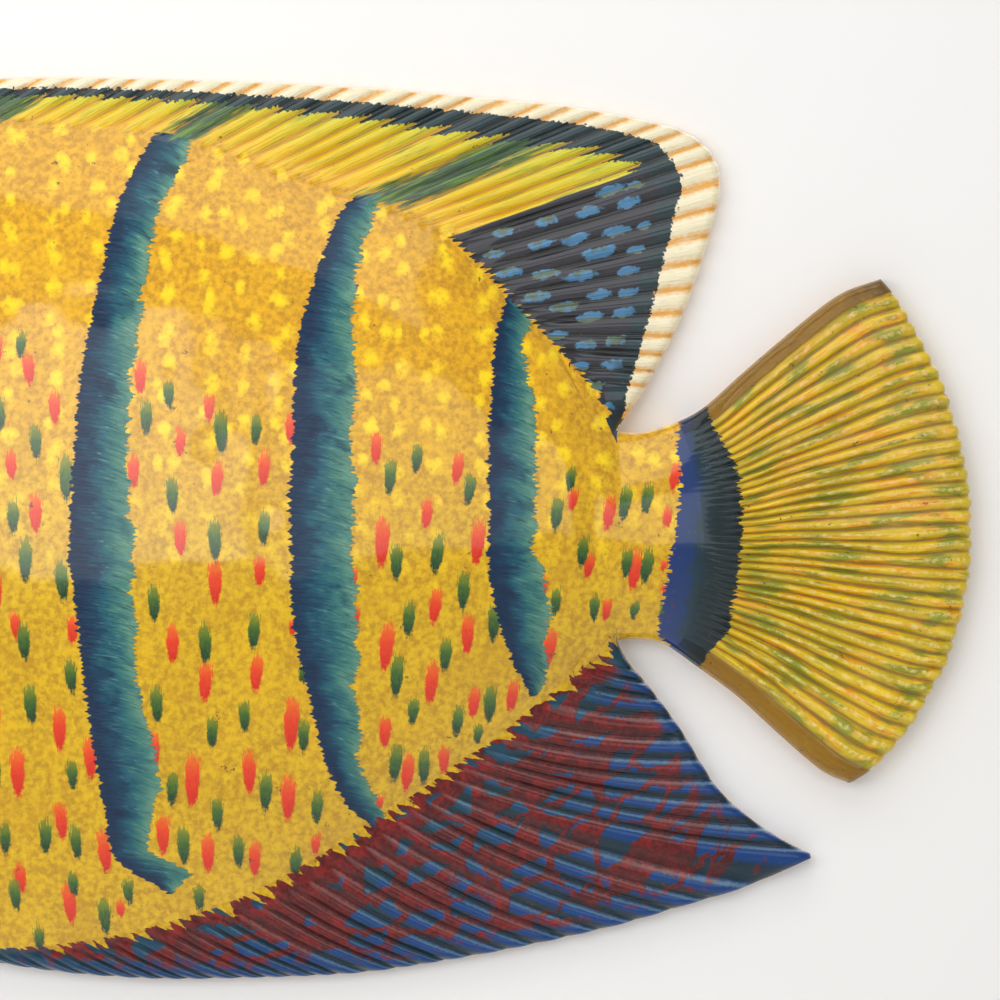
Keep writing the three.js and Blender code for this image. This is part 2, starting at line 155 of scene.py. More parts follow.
# The blue bands as (z, left edge, right edge).
BANDS = [
    [(-93, 13, 14), (-90, 9, 17), (-88, 5, 19), (-83, 0, 11), (-75, -1.5, 10), (-65, -3, 12),
     (-52, -5, 10), (-45, -6, 8), (-35, -7, 7), (-20, -8.5, 6), (-9, -10, 6), (5, -9.5, 5),
     (20, -8.5, 4.5), (30, -8, 5.5), (38, -7, 6), (55, -4, 7.5), (65, -2, 9), (72, -0.5, 10.5),
     (80, 1.5, 13), (88, 5, 16), (94, 8, 18.5), (97, 10, 20)],
    [(-78, 66, 67), (-75, 62, 68), (-70, 57, 65), (-65, 54.5, 63), (-58, 52, 60.5),
     (-50, 50, 62), (-42, 48.5, 60), (-32, 46, 61.5), (-20, 44.5, 60.5), (-10, 44.5, 60),
     (5, 44, 60.5), (18, 45, 59.5), (30, 45, 60.3), (45, 46, 60), (55, 48.5, 60), (65, 51.5, 61.5),
     (72, 54, 63), (78, 57, 65.5), (82, 61, 67.5), (85, 64, 69)],
    [(-44, 103.5, 105), (-41, 102, 106.5), (-35, 99, 107.5), (-25, 95.5, 108), (-15, 93.5, 107),
     (-8, 93, 105), (0, 93, 104.5), (15, 93, 104.8), (25, 93.3, 104.3), (35, 94, 103.5),
     (42, 94.2, 102), (48, 95.2, 102.8), (52, 96.5, 102.5), (55.5, 97.5, 100), (58, 98.5, 99)],
    [(-97, -43, -42), (-90, -48, -36), (-80, -52, -38), (-60, -54.5, -39), (-30, -57, -40.5),
     (0, -59, -43), (30, -58, -42.5), (60, -54, -40), (80, -50, -37), (93, -46, -34),
     (99, -44, -32)],
    [(-84, -94, -93), (-77, -99, -88), (-60, -103, -89), (-30, -107, -91), (0, -109, -94),
     (30, -108, -94), (60, -104, -91), (78, -100, -88), (90, -97, -86), (94, -95, -90)],
    [(-44, -139, -138), (-35, -142, -136), (-10, -144, -136), (15, -143.5, -134.5),
     (40, -142, -133), (58, -141, -133), (72, -140, -136), (76, -139, -138)],
]
PEDUNCLE_BAND = [
    (-40, 144.5, 146), (-36, 142, 147), (-31, 137.5, 150), (-28, 135.5, 153), (-22, 136.3, 154),
    (-16, 137, 155.3), (-11, 138.3, 155.8), (-6, 139, 156.3), (2, 140, 156.5), (7, 140.6, 156),
    (13, 140.8, 155), (19, 140, 152), (25, 141.3, 148.8), (29, 142, 147.5), (32, 143, 146),
]

# Brush dabs as (x, z, length). Those towards the head follow by rule.
RED_DABS = [
    (-28, 41.5, 9), (-20, 37, 9), (7.5, 35, 9), (-13.5, 27.5, 9), (24.5, 27.5, 7.5),
    (44.5, 22.5, 8.5), (17.5, 19, 7.5), (65.5, 17.5, 8.5), (-24, 13.5, 8.5), (38, 12.5, 9.5),
    (85.5, 12.5, 8.5), (6, 12, 9), (26.5, 10, 9.5), (139.5, 10.5, 8), (-18, 1.5, 10.5),
    (114, 5, 6), (123, 1.5, 9.5), (78, 1.5, 8.5), (137.5, 0.5, 6.5), (67, -5.5, 13),
    (90.5, -5.5, 12), (17.5, -4.5, 9.5), (129.5, -12.5, 11.5), (37, -12.5, 8.5),
    (118, -11.5, 7), (26, -15.5, 11.5), (-28, -17.5, 12), (80, -21.5, 9.5), (122.5, -22.5, 6),
    (-23, -26, 7.5), (-9, -27, 8), (88, -28.5, 10.5), (106.5, -17, 6.5), (108.3, -32, 10),
    (45, -26.5, 4.5), (15.5, -30.5, 10.5), (68, -31.5, 12.5), (36, -38, 10), (23.5, -40, 11),
    (79, -40.5, 11), (99, -44, 9), (89.5, -45.5, 8.5), (44.5, -50.5, 14), (-12.5, -51.5, 11.5),
    (-28.5, -50.5, 9), (67.5, -52.5, 9), (10.5, -57, 10.5), (-5, -59, 11), (82, -60, 8),
    (-23, -62.5, 13), (34, -62.5, 11.5), (20, -64.5, 14), (73, -63, 10.5), (43.5, -69, 12.5),
    (66, -70.5, 4), (-12.5, -74.5, 10), (12.5, -78, 11), (-2, -82.5, 11.5), (50, -81, 6),
    (23.5, -83, 10.5), (35, -84.5, 9.5), (-23, -89, 8.5), (-11, -95.5, 11.5), (1.5, -97, 5),
    (59.5, -15, 7.5), (60.3, -24, 6), (136.8, -11.5, 3.5), (136.8, -17.5, 3.5),
]
GREEN_DABS = [
    (-22, 43, 7), (-27, 26, 9.5), (14.5, 31, 8), (9, 25, 9.5), (27.5, 21.5, 11.5), (36, 22, 8),
    (-18, 19, 9), (75.5, 15, 7.5), (-10.5, 10, 12), (69, 10.5, 9.5), (113.5, 10, 6.5),
    (88.5, 7.5, 8.5), (15.5, 6, 9.5), (127, 4, 9.5), (132.5, 5, 8.5), (110, 1.5, 9.5),
    (-23.5, 0.5, 9), (38, -2, 9), (26, -5, 11), (80.5, -8.5, 10.5), (-20.5, -10, 11.5),
    (70.5, -10.5, 9.5), (116.5, -8, 8.5), (132.5, -11.5, 10), (127.5, -11, 8), (-11.5, -15, 11),
    (11, -20.5, 9.5), (87, -17.5, 10), (109.8, -20.5, 7.5), (94.5, -25.5, 10), (119.5, -22, 7),
    (129.5, -22.5, 5.5), (137, -23.5, 7), (35.5, -27.5, 9.5), (73.5, -24.5, 9.5),
    (23.5, -30.5, 10.5), (-21, -30, 10), (82.5, -33.5, 9), (70.5, -38.5, 11.5),
    (-9.5, -38.5, 9), (47.5, -38, 5.5), (-19.5, -45.5, 10.5), (11.5, -45.5, 10),
    (93.5, -46, 10), (33, -48.5, 8.5), (74.5, -47.5, 7.5), (85.5, -50, 8.5), (25, -52.5, 8.5),
    (47.5, -53.5, 9), (90.5, -53.5, 5.5), (70, -60.5, 10.5), (77, -61.5, 9.5), (-9.5, -63, 8),
    (-28.5, -62.5, 9), (15, -66.5, 9), (38, -67.5, 10.5), (50.5, -71.5, 9), (26, -73, 9),
    (-26.5, -79, 8.5), (-16.5, -78.5, 9.5), (17.5, -81, 10.5), (-9, -80, 9), (31, -82.5, 9),
    (45, -85.5, 9), (-10, -90.5, 7), (-24.5, -93.5, 8.5), (-2.5, -99, 10), (3.5, -92.5, 7.5),
    (21, -94.5, 7.5), (-19, -104.5, 7.5),
]
BLUE_DABS = [
    (97, 72, 6.5), (94.5, 66.5, 5.5), (98.5, 62, 7.5), (105.3, 55.8, 8), (107.5, 74.8, 6.5),
    (105.8, 68.8, 6), (107.3, 61.5, 7.5), (118.3, 77.3, 8), (115, 70.3, 7.5),
    (116.5, 61.3, 8.5), (112.3, 53.3, 8), (118.8, 50.8, 7.5), (110, 46, 6.5), (117.8, 44, 6),
    (123.5, 82.5, 8), (130.3, 84, 4.5), (128.3, 79.5, 7.5), (125.3, 72.5, 8.5),
    (121, 67, 10), (132.3, 73.8, 4.5), (130.3, 67.8, 5), (128.3, 62.5, 6), (120.8, 56.5, 7),
    (128.3, 57, 6), (127.3, 52, 7.5), (125.3, 45, 7), (116.3, 38.5, 5), (124.8, 39, 7),
    (119, 33.5, 6.5), (123.8, 28.3, 5.5),
]


def curve(rows, place):
    """Values read off smooth curves through rows of (place, value, ...).

    Between two rows the value is a cubic. Its slope at a row is the slope from the row before it to
    the row after it. Beyond the table the last row's value holds.
    """
    rows = np.asarray(rows, float)
    knots, values = rows[:, 0], rows[:, 1:]
    number = np.arange(len(rows))
    before, after = np.maximum(number - 1, 0), np.minimum(number + 1, len(rows) - 1)
    slopes = (values[after] - values[before]) / (knots[after] - knots[before])[:, None]
    place = np.asarray(place, float)
    i = np.clip(np.searchsorted(knots, place) - 1, 0, len(rows) - 2)
    span = (knots[i + 1] - knots[i])[..., None]
    f = np.clip((place - knots[i])[..., None] / span, 0, 1)
    g = 1 - f
    ends = g * g * (1 + 2 * f) * values[i] + f * f * (3 - 2 * f) * values[i + 1]
    return ends + f * g * span * (g * slopes[i] - f * slopes[i + 1])


def single(rows, place):
    """The one value of a table of (place, value) rows at each place."""
    return curve(rows, place)[..., 0]


def mix(first, second, share):
    """The first value for a share of 0, the second for a share of 1."""
    return first + (second - first) * share


def ease(value, low, high):
    """0 below low, 1 above high, and an S-shaped rise between them."""
    share = np.clip((value - low) / (high - low), 0, 1)
    return share * share * (3 - 2 * share)


def dome(share):
    """A dome's height, 0 at both sides and 1 in the middle: a parabola to the power DOME_POWER."""
    return np.clip(4 * share * (1 - share), 0, 1) ** DOME_POWER


def valley(rib):
    """How far a rib's surface is below its crest: 1 less the absolute cosine of half turns."""
    return 1 - np.abs(np.cos(np.pi * rib))


def unevenness(u, v, seed):
    """Smooth chance values from -1 to 1: a table of random numbers at whole steps, eased between."""
    table = np.random.default_rng(seed).uniform(-1, 1, (64, 64))
    i, j = np.floor(u).astype(int), np.floor(v).astype(int)
    f, g = ease(u - i, 0, 1), ease(v - j, 0, 1)
    near = mix(table[i % 64, j % 64], table[(i + 1) % 64, j % 64], f)
    far = mix(table[i % 64, (j + 1) % 64], table[(i + 1) % 64, (j + 1) % 64], f)
    return mix(near, far, g)


def belly_edge(rib):
    """The belly fin's outer edge: its rear edge up to the tip at rib 11, then its lower edge."""
    tip = BELLY_EDGE[0][0]
    rear, lower = curve(BELLY_FIN_REAR_EDGE, rib), curve(BELLY_EDGE, rib)
    return np.where((rib < tip)[..., None], rear, lower)


def fin(rib, groove, share, root, edge, bow, ribs):
    """A fin's places and heights. Share runs along a ray from its root, 0, to the fin's edge, 1.

    A place is on the straight line from root to edge, moved aside by bow times a parabola. The
    height falls evenly from FIN_ROOT to FIN_TIP and dips in the valleys between the ribs, which
    groove counts.
    """
    along = edge - root
    length = np.linalg.norm(along, axis=-1)
    aside = np.stack([along[..., 1], -along[..., 0]], -1)
    place = mix(root, edge, share[..., None]) + aside * (4 * bow * share * (1 - share))[..., None]
    depth = FIN_RIB_DEPTH * ease(share, 0, RIB_FADE) * ease(length, 4, 8)
    depth = depth * ease(ribs - rib, -0.5, 0.5) * (1 + 0.3 * unevenness(rib * 1.7, share * 4, 3))
    dip = valley(groove)
    scallop = 0.2 * dip * ease(share, 0.85, 1) * ease(length, 4, 8) * ease(ribs - rib, 0, 2)
    place = place - along / np.maximum(length, 1e-6)[..., None] * scallop[..., None]
    height = mix(single(FIN_ROOT, rib), single(FIN_TIP, rib), share) - depth * dip
    return place, height, length * share


def body_spot(rib, share):
    """The body's place and height: across it the height is a dome from FIN_ROOT to BODY_CREST."""
    place = mix(curve(BELLY_BASE, rib), curve(BACK_BASE, rib), share[..., None])
    return place, mix(single(FIN_ROOT, rib), single(BODY_CREST, rib), dome(share))


def front_face(rib, groove, across):
    """Places, heights and distances along the ray of the body and its two fins."""
    belly = fin(rib, groove, np.clip(-across, 0, 1), curve(BELLY_BASE, rib), belly_edge(rib),
                RAY_BOW, BELLY_FIN_RIBS)
    back = fin(rib, groove, np.clip(across - 1, 0, 1), curve(BACK_BASE, rib),
               curve(BACK_EDGE, rib), 0, BACK_FIN_RIBS)
    body = (*body_spot(rib, np.clip(across, 0, 1)), np.zeros(rib.shape))
    pick = [across < 0, across > 1]
    return [np.where(pick[0][..., None] if b.ndim > 2 else pick[0], a,
                     np.where(pick[1][..., None] if b.ndim > 2 else pick[1], c, b))
            for a, b, c in zip(belly, body, back)]


def tail_face(station, across):
    """The tail's places and heights. A column leans out towards the rim by the bulge.

    The lean is share to the power BULGE_LOWER times the rest to the power BULGE_UPPER, scaled to
    a peak of 1. The height is a dome from side to side, less the ribs' valleys, which fade in after
    TAIL_RIB_START. A plain band EDGE_BAND wide is left along both sides.
    """
    lower, upper = curve(TAIL_LOWER, station), curve(TAIL_UPPER, station)
    band = EDGE_BAND / np.linalg.norm(upper - lower, axis=-1)
    share = np.where(across < 0, band * (1 + across), mix(band, 1 - band, across))
    share = np.where(across > 1, 1 - band * (2 - across), share)
    peak = BULGE_LOWER / (BULGE_LOWER + BULGE_UPPER)
    top = peak ** BULGE_LOWER * (1 - peak) ** BULGE_UPPER
    lean = np.clip(share, 0, 1) ** BULGE_LOWER * np.clip(1 - share, 0, 1) ** BULGE_UPPER / top
    inside = (across > 0) & (across < 1)
    rib = TAIL_RIBS * across + 0.5
    share = share + np.where(inside, 0.0045, 0) * unevenness(rib * 0.9, station * 0.9, 17) * dome(
        np.clip(across, 0, 1))
    uneven_depth = 1 + 0.35 * unevenness(rib * 1.3, station * 2.2, 5)
    dip = np.where(inside, valley(rib), 0) * ease(station, TAIL_RIB_START, TAIL_RIB_START + 0.8)
    notch = 0.5 * dip * ease(station, RIM_STATION - 0.3, RIM_STATION)
    frayed = 0.35 * unevenness(rib * 0.8, station * 0, 11) * ease(station, 6, RIM_STATION)
    place = mix(lower, upper, share[..., None])
    place[..., 0] += single(TAIL_BULGE, station) * lean - notch + frayed * ease(lean, 0, 0.4)
    height = mix(single(TAIL_SIDE, station), single(TAIL_CREST, station), dome(share))
    return place, height - TAIL_RIB_DEPTH * uneven_depth * dip


def column_rows(rib):
    """How far across the fish each point of a body column stands.

    In a fin the first few points are close to the outer edge, to round it, and the others are even.
    On the body they are a little closer together near its sides. From rib 4 to the notches the rows
    slide over to the tail's rows, so that the grid runs through.
    """
    close = np.array([0, 0.15, 0.5, 1, 1.7, 2.5, 3.4])

    def fin_rows(length, steps):
        number = np.arange(steps + 1)
        even = length[:, None] * number / steps
        near = np.minimum(close[np.minimum(number, EDGE_STEPS)], even)
        last = near[:, EDGE_STEPS:EDGE_STEPS + 1]
        rest = mix(last, length[:, None], (number - EDGE_STEPS) / (steps - EDGE_STEPS))
        return np.where(number <= EDGE_STEPS, near, rest) / length[:, None]

    belly = np.linalg.norm(belly_edge(rib) - curve(BELLY_BASE, rib), axis=-1)
    back = np.linalg.norm(curve(BACK_EDGE, rib) - curve(BACK_BASE, rib), axis=-1)
    even = np.arange(BODY_STEPS + 1) / BODY_STEPS
    body = np.tile(even - 0.06 * np.sin(2 * np.pi * even), (len(rib), 1))
    rows = np.concatenate([
        fin_rows(belly, BELLY_FIN_STEPS)[:, :-1] - 1,
        body,
        2 - fin_rows(back, BACK_FIN_STEPS)[:, ::-1][:, 1:],
    ], 1)
    return mix(tail_rows()[None], rows, ease(rib, 0, 4)[:, None])


def tail_rows():
    """Even rows: TAIL_BAND_STEPS over each side band and STEPS_PER_TAIL_RIB over each rib."""
    ribs = TAIL_RIBS * STEPS_PER_TAIL_RIB
    band = np.arange(TAIL_BAND_STEPS) / TAIL_BAND_STEPS
    return np.concatenate([band - 1, np.arange(ribs + 1) / ribs, 2 - band[::-1]])


def column_places():
    """The ribs of the body's columns and the stations of the tail's columns."""
    head = np.concatenate([
        np.linspace(SNOUT_RIB, 59, 22)[:-1], np.linspace(59, 54, 17)[:-1],
        np.linspace(54, BACK_FIN_RIBS, 43)[:-1],
    ])
    ribbed = np.linspace(BACK_FIN_RIBS, 0, BACK_FIN_RIBS * STEPS_PER_RIB + 1)
    rim = RIM_STATION - np.array([0.22, 0.15, 0.09, 0.045, 0.015, 0])
    tail = np.concatenate([np.linspace(0, RIM_STATION - 0.22, 48)[1:-1], rim])
    return np.concatenate([head, ribbed]), tail


def nearest_on_ring(places, ring, chunk=4096):
    """The distance from each place to a closed line: the nearest corner, then the pieces beside it."""
    after = np.roll(ring, -1, 0)
    found = []
    for start in range(0, len(places), chunk):
        part = places[start:start + chunk]
        square = (ring ** 2).sum(1)[None] - 2 * part @ ring.T
        corner = square.argmin(1)
        least = np.full(len(part), np.inf)
        for piece in (corner, (corner - 1) % len(ring)):
            from_, to = ring[piece], after[piece]
            along = to - from_
            share = ((part - from_) * along).sum(1) / np.maximum((along ** 2).sum(1), 1e-12)
            spot = from_ + along * np.clip(share, 0, 1)[:, None]
            least = np.minimum(least, np.linalg.norm(part - spot, axis=1))
        found.append(least)
    return np.concatenate(found)


def leaf(rib, share, shape):
    """How much a folded side fin adds: a leaf of rays, widest two thirds of the way to its tip."""
    (root_rib, root_share), (tip_rib, tip_share) = shape["root"], shape["tip"]
    along = (root_rib - rib) / (root_rib - tip_rib)
    held = np.clip(along, 0, 1)
    width = shape["half_width"] * (0.28 + 0.72 * np.sin(np.pi * held ** 1.5 * 0.93))
    side = (share - mix(root_share, tip_share, held)) / width
    inside = ease(1 - np.abs(side), 0, 0.12) * ease(along, -0.04, 0.02) * ease(1 - along, -0.02, 0.04)
    rays = valley(shape["rays"] * (side + 1) / 2 + 0.5) * ease(along, 0.05, 0.3)
    return inside * (shape["lift"] * (1 - 0.5 * held) - 0.7 * rays), inside


def gill_cover(rib, share):
    """How much the gill cover adds: a curved rear edge that stands proud and sinks in forwards."""
    up = np.clip((share - GILL["low"]) / (GILL["high"] - GILL["low"]), 0, 1)
    edge = GILL["rib"] - GILL["sweep"] * np.sin(np.pi * up) ** 0.8
    forward = (rib - edge) / GILL["depth"]
    lift = GILL["lift"] * np.sin(np.pi * up) ** 0.5
    return lift * ease(forward, -0.05, 0.02) * (1 - ease(forward, 0, 1.1))


def dab_distance(places, dabs, lean, pointed):
    """How far inside the nearest brush dab each place is, in millimetres, and how high up in it.

    A dab is an ellipse whose width follows from its length. A pointed one is blunt at its top, where
    the brush was set down, and runs out in a point at its foot.
    """
    best = np.full(len(places), -9.0)
    height = np.zeros(len(places))
    for x, z, length in dabs:
        angle = lean(x, z)
        dx, dz = places[:, 0] - x, places[:, 1] - z
        dx, dz = dx * np.cos(angle) + dz * np.sin(angle), dz * np.cos(angle) - dx * np.sin(angle)
        half, wide = length / 2, 0.75 + 0.085 * length
        up = dz / half
        if pointed:
            wide = wide * (1 + 0.16 * np.clip(up, -1, 1))
        power = np.where(up > 0, 3.4, 1.9) if pointed else 2.0
        reach = (np.abs(dx / wide) ** 2.1 + np.abs(up) ** power) ** (1 / 2.1)
        inside = (1 - reach) * np.minimum(half, wide)
        closer = inside > best
        best = np.where(closer, inside, best)
        height = np.where(closer, np.clip(up, -1, 1), height)
    return np.clip(best, -3, 3), height


def head_dabs(seed):
    """Dabs towards the head, in staggered columns with small chance shifts, as (x, z, length)."""
    chance = np.random.default_rng(seed)
    columns, rows = np.meshgrid(np.arange(9), np.arange(12), indexing="ij")
    x = -36 - 11.3 * columns + chance.uniform(-2, 2, columns.shape)
    z = 38 - 12 * rows - 6 * (columns % 2) + chance.uniform(-2, 2, rows.shape)
    length = chance.uniform(8, 11.5, rows.shape)
    low = -100 + 0.9 * np.clip(-50 - x, 0, 200)
    keep = (z > low + 4) & (x > -124) & (seed % 2 + columns + rows >= 0)
    return list(zip(x[keep], z[keep], length[keep]))


def band_places(x, z, bands):
    """How far inside the nearest band each place is, and the share of the band's width from its left."""
    depth = np.full(x.shape, -30.0)
    share = np.zeros(x.shape)
    for rows in bands:
        edges = curve(rows, z)
        left, right = x - edges[..., 0], edges[..., 1] - x
        ends = np.minimum(z - rows[0][0], rows[-1][0] - z)
        inside = np.minimum(np.minimum(left, right), ends)
        closer = inside > depth
        depth = np.where(closer, inside, depth)
        middle = np.clip(left / np.maximum(left + right, 3), 0, 1)
        share = np.where(closer, np.where(left + right > 0, middle, 0.5), share)
    return np.clip(depth, -10, 10), share


def carve():
    """The whole surface: vertices, faces, the face's kinds, and what the paint needs to know."""
    ribs, stations = column_places()
    drawn = ribs + 0.17 * unevenness(ribs * 0.7, ribs * 0, 13) * ease(ribs, 0, 3)
    across = np.concatenate([column_rows(drawn), np.tile(tail_rows(), (len(stations), 1))])
    rib = np.repeat(ribs, COLUMN_STEPS + 1).reshape(-1, COLUMN_STEPS + 1)
    station = np.repeat(stations, COLUMN_STEPS + 1).reshape(-1, COLUMN_STEPS + 1)
    body = len(ribs)
    place, height, ray = front_face(np.repeat(drawn, COLUMN_STEPS + 1).reshape(rib.shape), rib,
                                    across[:body])
    flat = np.zeros_like(rib)
    tail_place, tail_height = tail_face(np.concatenate([flat, station]), across)
    meet = ease(rib, 0, 3)
    height = mix(tail_height[:body], height, meet)
    height = np.concatenate([height, tail_height[body:]])
    place = np.concatenate([place, tail_place[body:]])
    ray = np.concatenate([ray, np.zeros_like(station)])
    rib = np.concatenate([rib, -station])
    station = -rib

    # The dome runs on smoothly past the notches: heights near there are averaged along the rows.
    near = np.exp(-((rib - 0.3) / 1.6) ** 2) * ease(np.minimum(across, 1 - across), 0, 0.12)
    for _ in range(40):
        average = height.copy()
        average[1:-1] = (height[:-2] + 2 * height[1:-1] + height[2:]) / 4
        height = mix(height, average, near)

    # The body runs into its fins without a crease.
    width = np.linalg.norm(curve(BACK_BASE, np.maximum(rib, 0))
                           - curve(BELLY_BASE, np.maximum(rib, 0)), axis=-1)
    ray_now = np.concatenate([ray[:body], np.zeros_like(ray[body:])])
    from_back = np.where(across > 1, ray_now, np.abs(1 - across) * width)
    from_belly = np.where(across < 0, ray_now, np.abs(across) * width)
    root = np.maximum(np.exp(-(from_back / 5) ** 2), np.exp(-(from_belly / 4) ** 2))
    root = root * ease(rib, 0.5, 3)
    for _ in range(16):
        average = height.copy()
        average[:, 1:-1] = (height[:, :-2] + 2 * height[:, 1:-1] + height[:, 2:]) / 4
        height = mix(height, average, root)

    share = np.clip(across, 0, 1)
    on_body = ease(across, 0, 0.02) * ease(1 - across, 0, 0.02)
    pectoral, pectoral_mask = leaf(rib, share, PECTORAL)
    pelvic, pelvic_mask = leaf(rib, share, PELVIC)
    height = height + on_body * (gill_cover(rib, share) + pectoral + pelvic)
    eye_place, eye_height = body_spot(np.array([float(EYE_PLACE[0])]), np.array([EYE_PLACE[1]]))
    eye = np.linalg.norm(place - eye_place[0], axis=-1)
    ball = np.where(eye < EYE_PROFILE[-1][0], eye_height[0] + single(EYE_PROFILE, eye), 0)
    height = np.maximum(height, ball)
    lips = ease(MOUTH["corner"] - place[..., 0], 0, 2)
    height -= MOUTH["depth"] * lips * np.exp(-((place[..., 1] - MOUTH["height"]) / 0.9) ** 2)
    snout = ease(-place[..., 0], 168, 172.5)
    place[..., 0] -= 1.4 * snout * np.abs(np.sin(2 * np.pi * (place[..., 1] + 9.75) / 12.25))

    numbers = np.arange(rib.size).reshape(rib.shape)
    outline = np.concatenate([
        numbers[:, 0], numbers[-1, 1:-1], numbers[::-1, -1], numbers[0, -2:0:-1],
    ])
    flat_place = place.reshape(-1, 2)
    ring = flat_place[outline]
    inward = nearest_on_ring(flat_place, ring)
    rounded = np.maximum(EDGE_ROUND - inward, 0)
    wobble = 0.12 * unevenness(flat_place[:, 0] / 9, flat_place[:, 1] / 9, 7)
    height = height.ravel() - EDGE_ROUND + np.sqrt(EDGE_ROUND ** 2 - rounded ** 2)
    height += wobble * ease(inward, 0, 6)
    chip = np.exp(-(((flat_place - [168.5, 46]) / [1.6, 1]) ** 2).sum(1))
    dent = np.exp(-(((flat_place - [138.8, -54.3]) / [1.5, 1.3]) ** 2).sum(1))
    height -= 1.2 * chip + 0.9 * dent

    # The wall under the outline, and the hole for the nail.
    levels = [0.5 * height[outline] + 0.5, np.full(len(ring), WALL_FOOT), np.zeros(len(ring))]
    rings = [np.column_stack([ring, level]) for level in levels]
    turn = np.linspace(0, 2 * np.pi, NAIL_HOLE["sides"], endpoint=False) + np.pi / 2
    hole = NAIL_HOLE["radius"] * np.column_stack([np.cos(turn), np.sin(turn)])
    hole += [0, NAIL_HOLE["height"]]
    hole_rings = [np.column_stack([hole, np.full(len(hole), level)])
                  for level in (0, NAIL_HOLE["depth"])]
    points = np.concatenate([np.column_stack([flat_place, height]), *rings, *hole_rings])
    vertices = np.column_stack([points[:, 0], -points[:, 2], points[:, 1]]) * MM

    quads = np.stack([numbers[:-1, :-1], numbers[1:, :-1], numbers[1:, 1:], numbers[:-1, 1:]], -1)
    middle = (across[:-1, :-1] + across[1:, 1:]) / 2
    kind = np.where(middle < 0, 2, np.where(middle > 1, 1, 0))
    kind = np.where(station[1:, :-1] > 0, 0, kind)
    kind = np.where(station[:-1, :-1] > 2.3, 3, kind)
    faces = quads.reshape(-1, 4).tolist()
    kinds = kind.ravel().tolist()
    ring_rib, ring_across = rib.ravel()[outline], across.ravel()[outline]
    ring_kind = np.where(ring_across < 0.5, 2, 1)
    ring_kind = np.where(ring_rib < 0.1, 0, ring_kind)
    ring_kind = np.where(ring_rib < -2.3, 3, ring_kind)
    upper = outline
    start = rib.size
    count = len(outline)
    for _ in rings:
        lower = start + np.arange(count)
        wall = np.stack([upper, lower, np.roll(lower, -1), np.roll(upper, -1)], 1)
        faces += wall.tolist()
        kinds += ring_kind.tolist()
        upper, start = lower, start + count
    mouth, floor = (start + n * len(hole) + np.arange(len(hole)) for n in (0, 1))
    bore = np.stack([mouth, floor, np.roll(floor, -1), np.roll(mouth, -1)], 1)
    faces += bore.tolist() + [floor[::-1].tolist()]
    kinds += [4] * (len(hole) + 1)

    # The flat back is two flat faces that meet in a line through the hole.
    along = rings[-1][:, 0]
    low = int(np.abs(along[:body]).argmin())
    high_part = np.arange(len(ring) - body * 2, len(ring))
    high = int(high_part[np.abs(along[high_part] + 99 * (rings[-1][high_part, 1] < 0)).argmin()])
    half = len(hole) // 2
    left_side, right_side = mouth[:half + 1], np.concatenate([mouth[half:], mouth[:1]])
    right = np.concatenate([lower[low:high + 1], right_side[::-1]])
    left = np.concatenate([lower[high:], lower[:low + 1], left_side[::-1]])
    faces += [right[::-1].tolist(), left[::-1].tolist()]
    kinds += [4, 4]
    smooth = np.arange(len(faces)) < len(faces) - 3

    # What the paint reads at each point.
    x, z = flat_place.T
    red, red_height = dab_distance(flat_place, RED_DABS + head_dabs(21), brush_lean, True)
    green, green_height = dab_distance(flat_place, GREEN_DABS + head_dabs(22), brush_lean, True)
    blue, blue_height = dab_distance(flat_place, BLUE_DABS, ray_slope, False)
    band_depth, band_share = band_places(x, z, BANDS)
    tail_depth, tail_share = band_places(x, z, [PEDUNCLE_BAND])
    ray_length = ray_lengths(drawn, across, body, ray)
    painted = {
        "carving": (rib.ravel(), across.ravel(), inward),
        "ray": (ray.ravel(), ray_length.ravel(), z),
        "rim": (single(PALE_RIM, rib.ravel()), single(DARK_LINE, rib.ravel()), eye.ravel()),
        "bands": (band_depth, band_share, TAIL_RIBS * across.ravel() + 0.5),
        "tail_band": (tail_depth, tail_share, station.ravel()),
        "dabs": (red, green, blue),
        "dab_height": (red_height, green_height, blue_height),
        "side_fins": (np.maximum(pectoral_mask, pelvic_mask).ravel(), lips.ravel(),
                      gill_cover(rib, share).ravel()),
    }
    owner = np.concatenate([np.arange(rib.size), *[outline] * len(rings),
                            np.full(2 * len(hole), outline[0])])
    painted = {name: np.stack(values, 1)[owner] for name, values in painted.items()}
    level = np.concatenate([height, *[r[:, 2] for r in rings], *[h[:, 2] for h in hole_rings]])
    painted["level"] = np.column_stack([level, height[owner] - level, level * 0])
    return vertices, faces, kinds, smooth, painted


def brush_lean(x, z):
    """The slant of a dab on the body: its foot goes left near the tail and right near the head."""
    return np.interp(x, [0, 50, 140], np.radians([3, -3, -9])) + 0.05 * np.sin(x * 1.7 + z * 2.3)


def ray_slope(x, z):
    """The slant of the back fin's rays at a height, turned so that a dab lies along its ray."""
    return np.interp(z, [27, 88], np.radians([4, 20])) - np.pi / 2


def ray_lengths(ribs, across, body, ray):
    """The whole length of the ray that each point is on, or 0 off the fins."""
    belly = np.linalg.norm(belly_edge(ribs) - curve(BELLY_BASE, ribs), axis=-1)[:, None]
    back = np.linalg.norm(curve(BACK_EDGE, ribs) - curve(BACK_BASE, ribs), axis=-1)[:, None]
    length = np.zeros_like(ray)
    length[:body] = np.where(across[:body] < 0.5, belly, back)
    return length


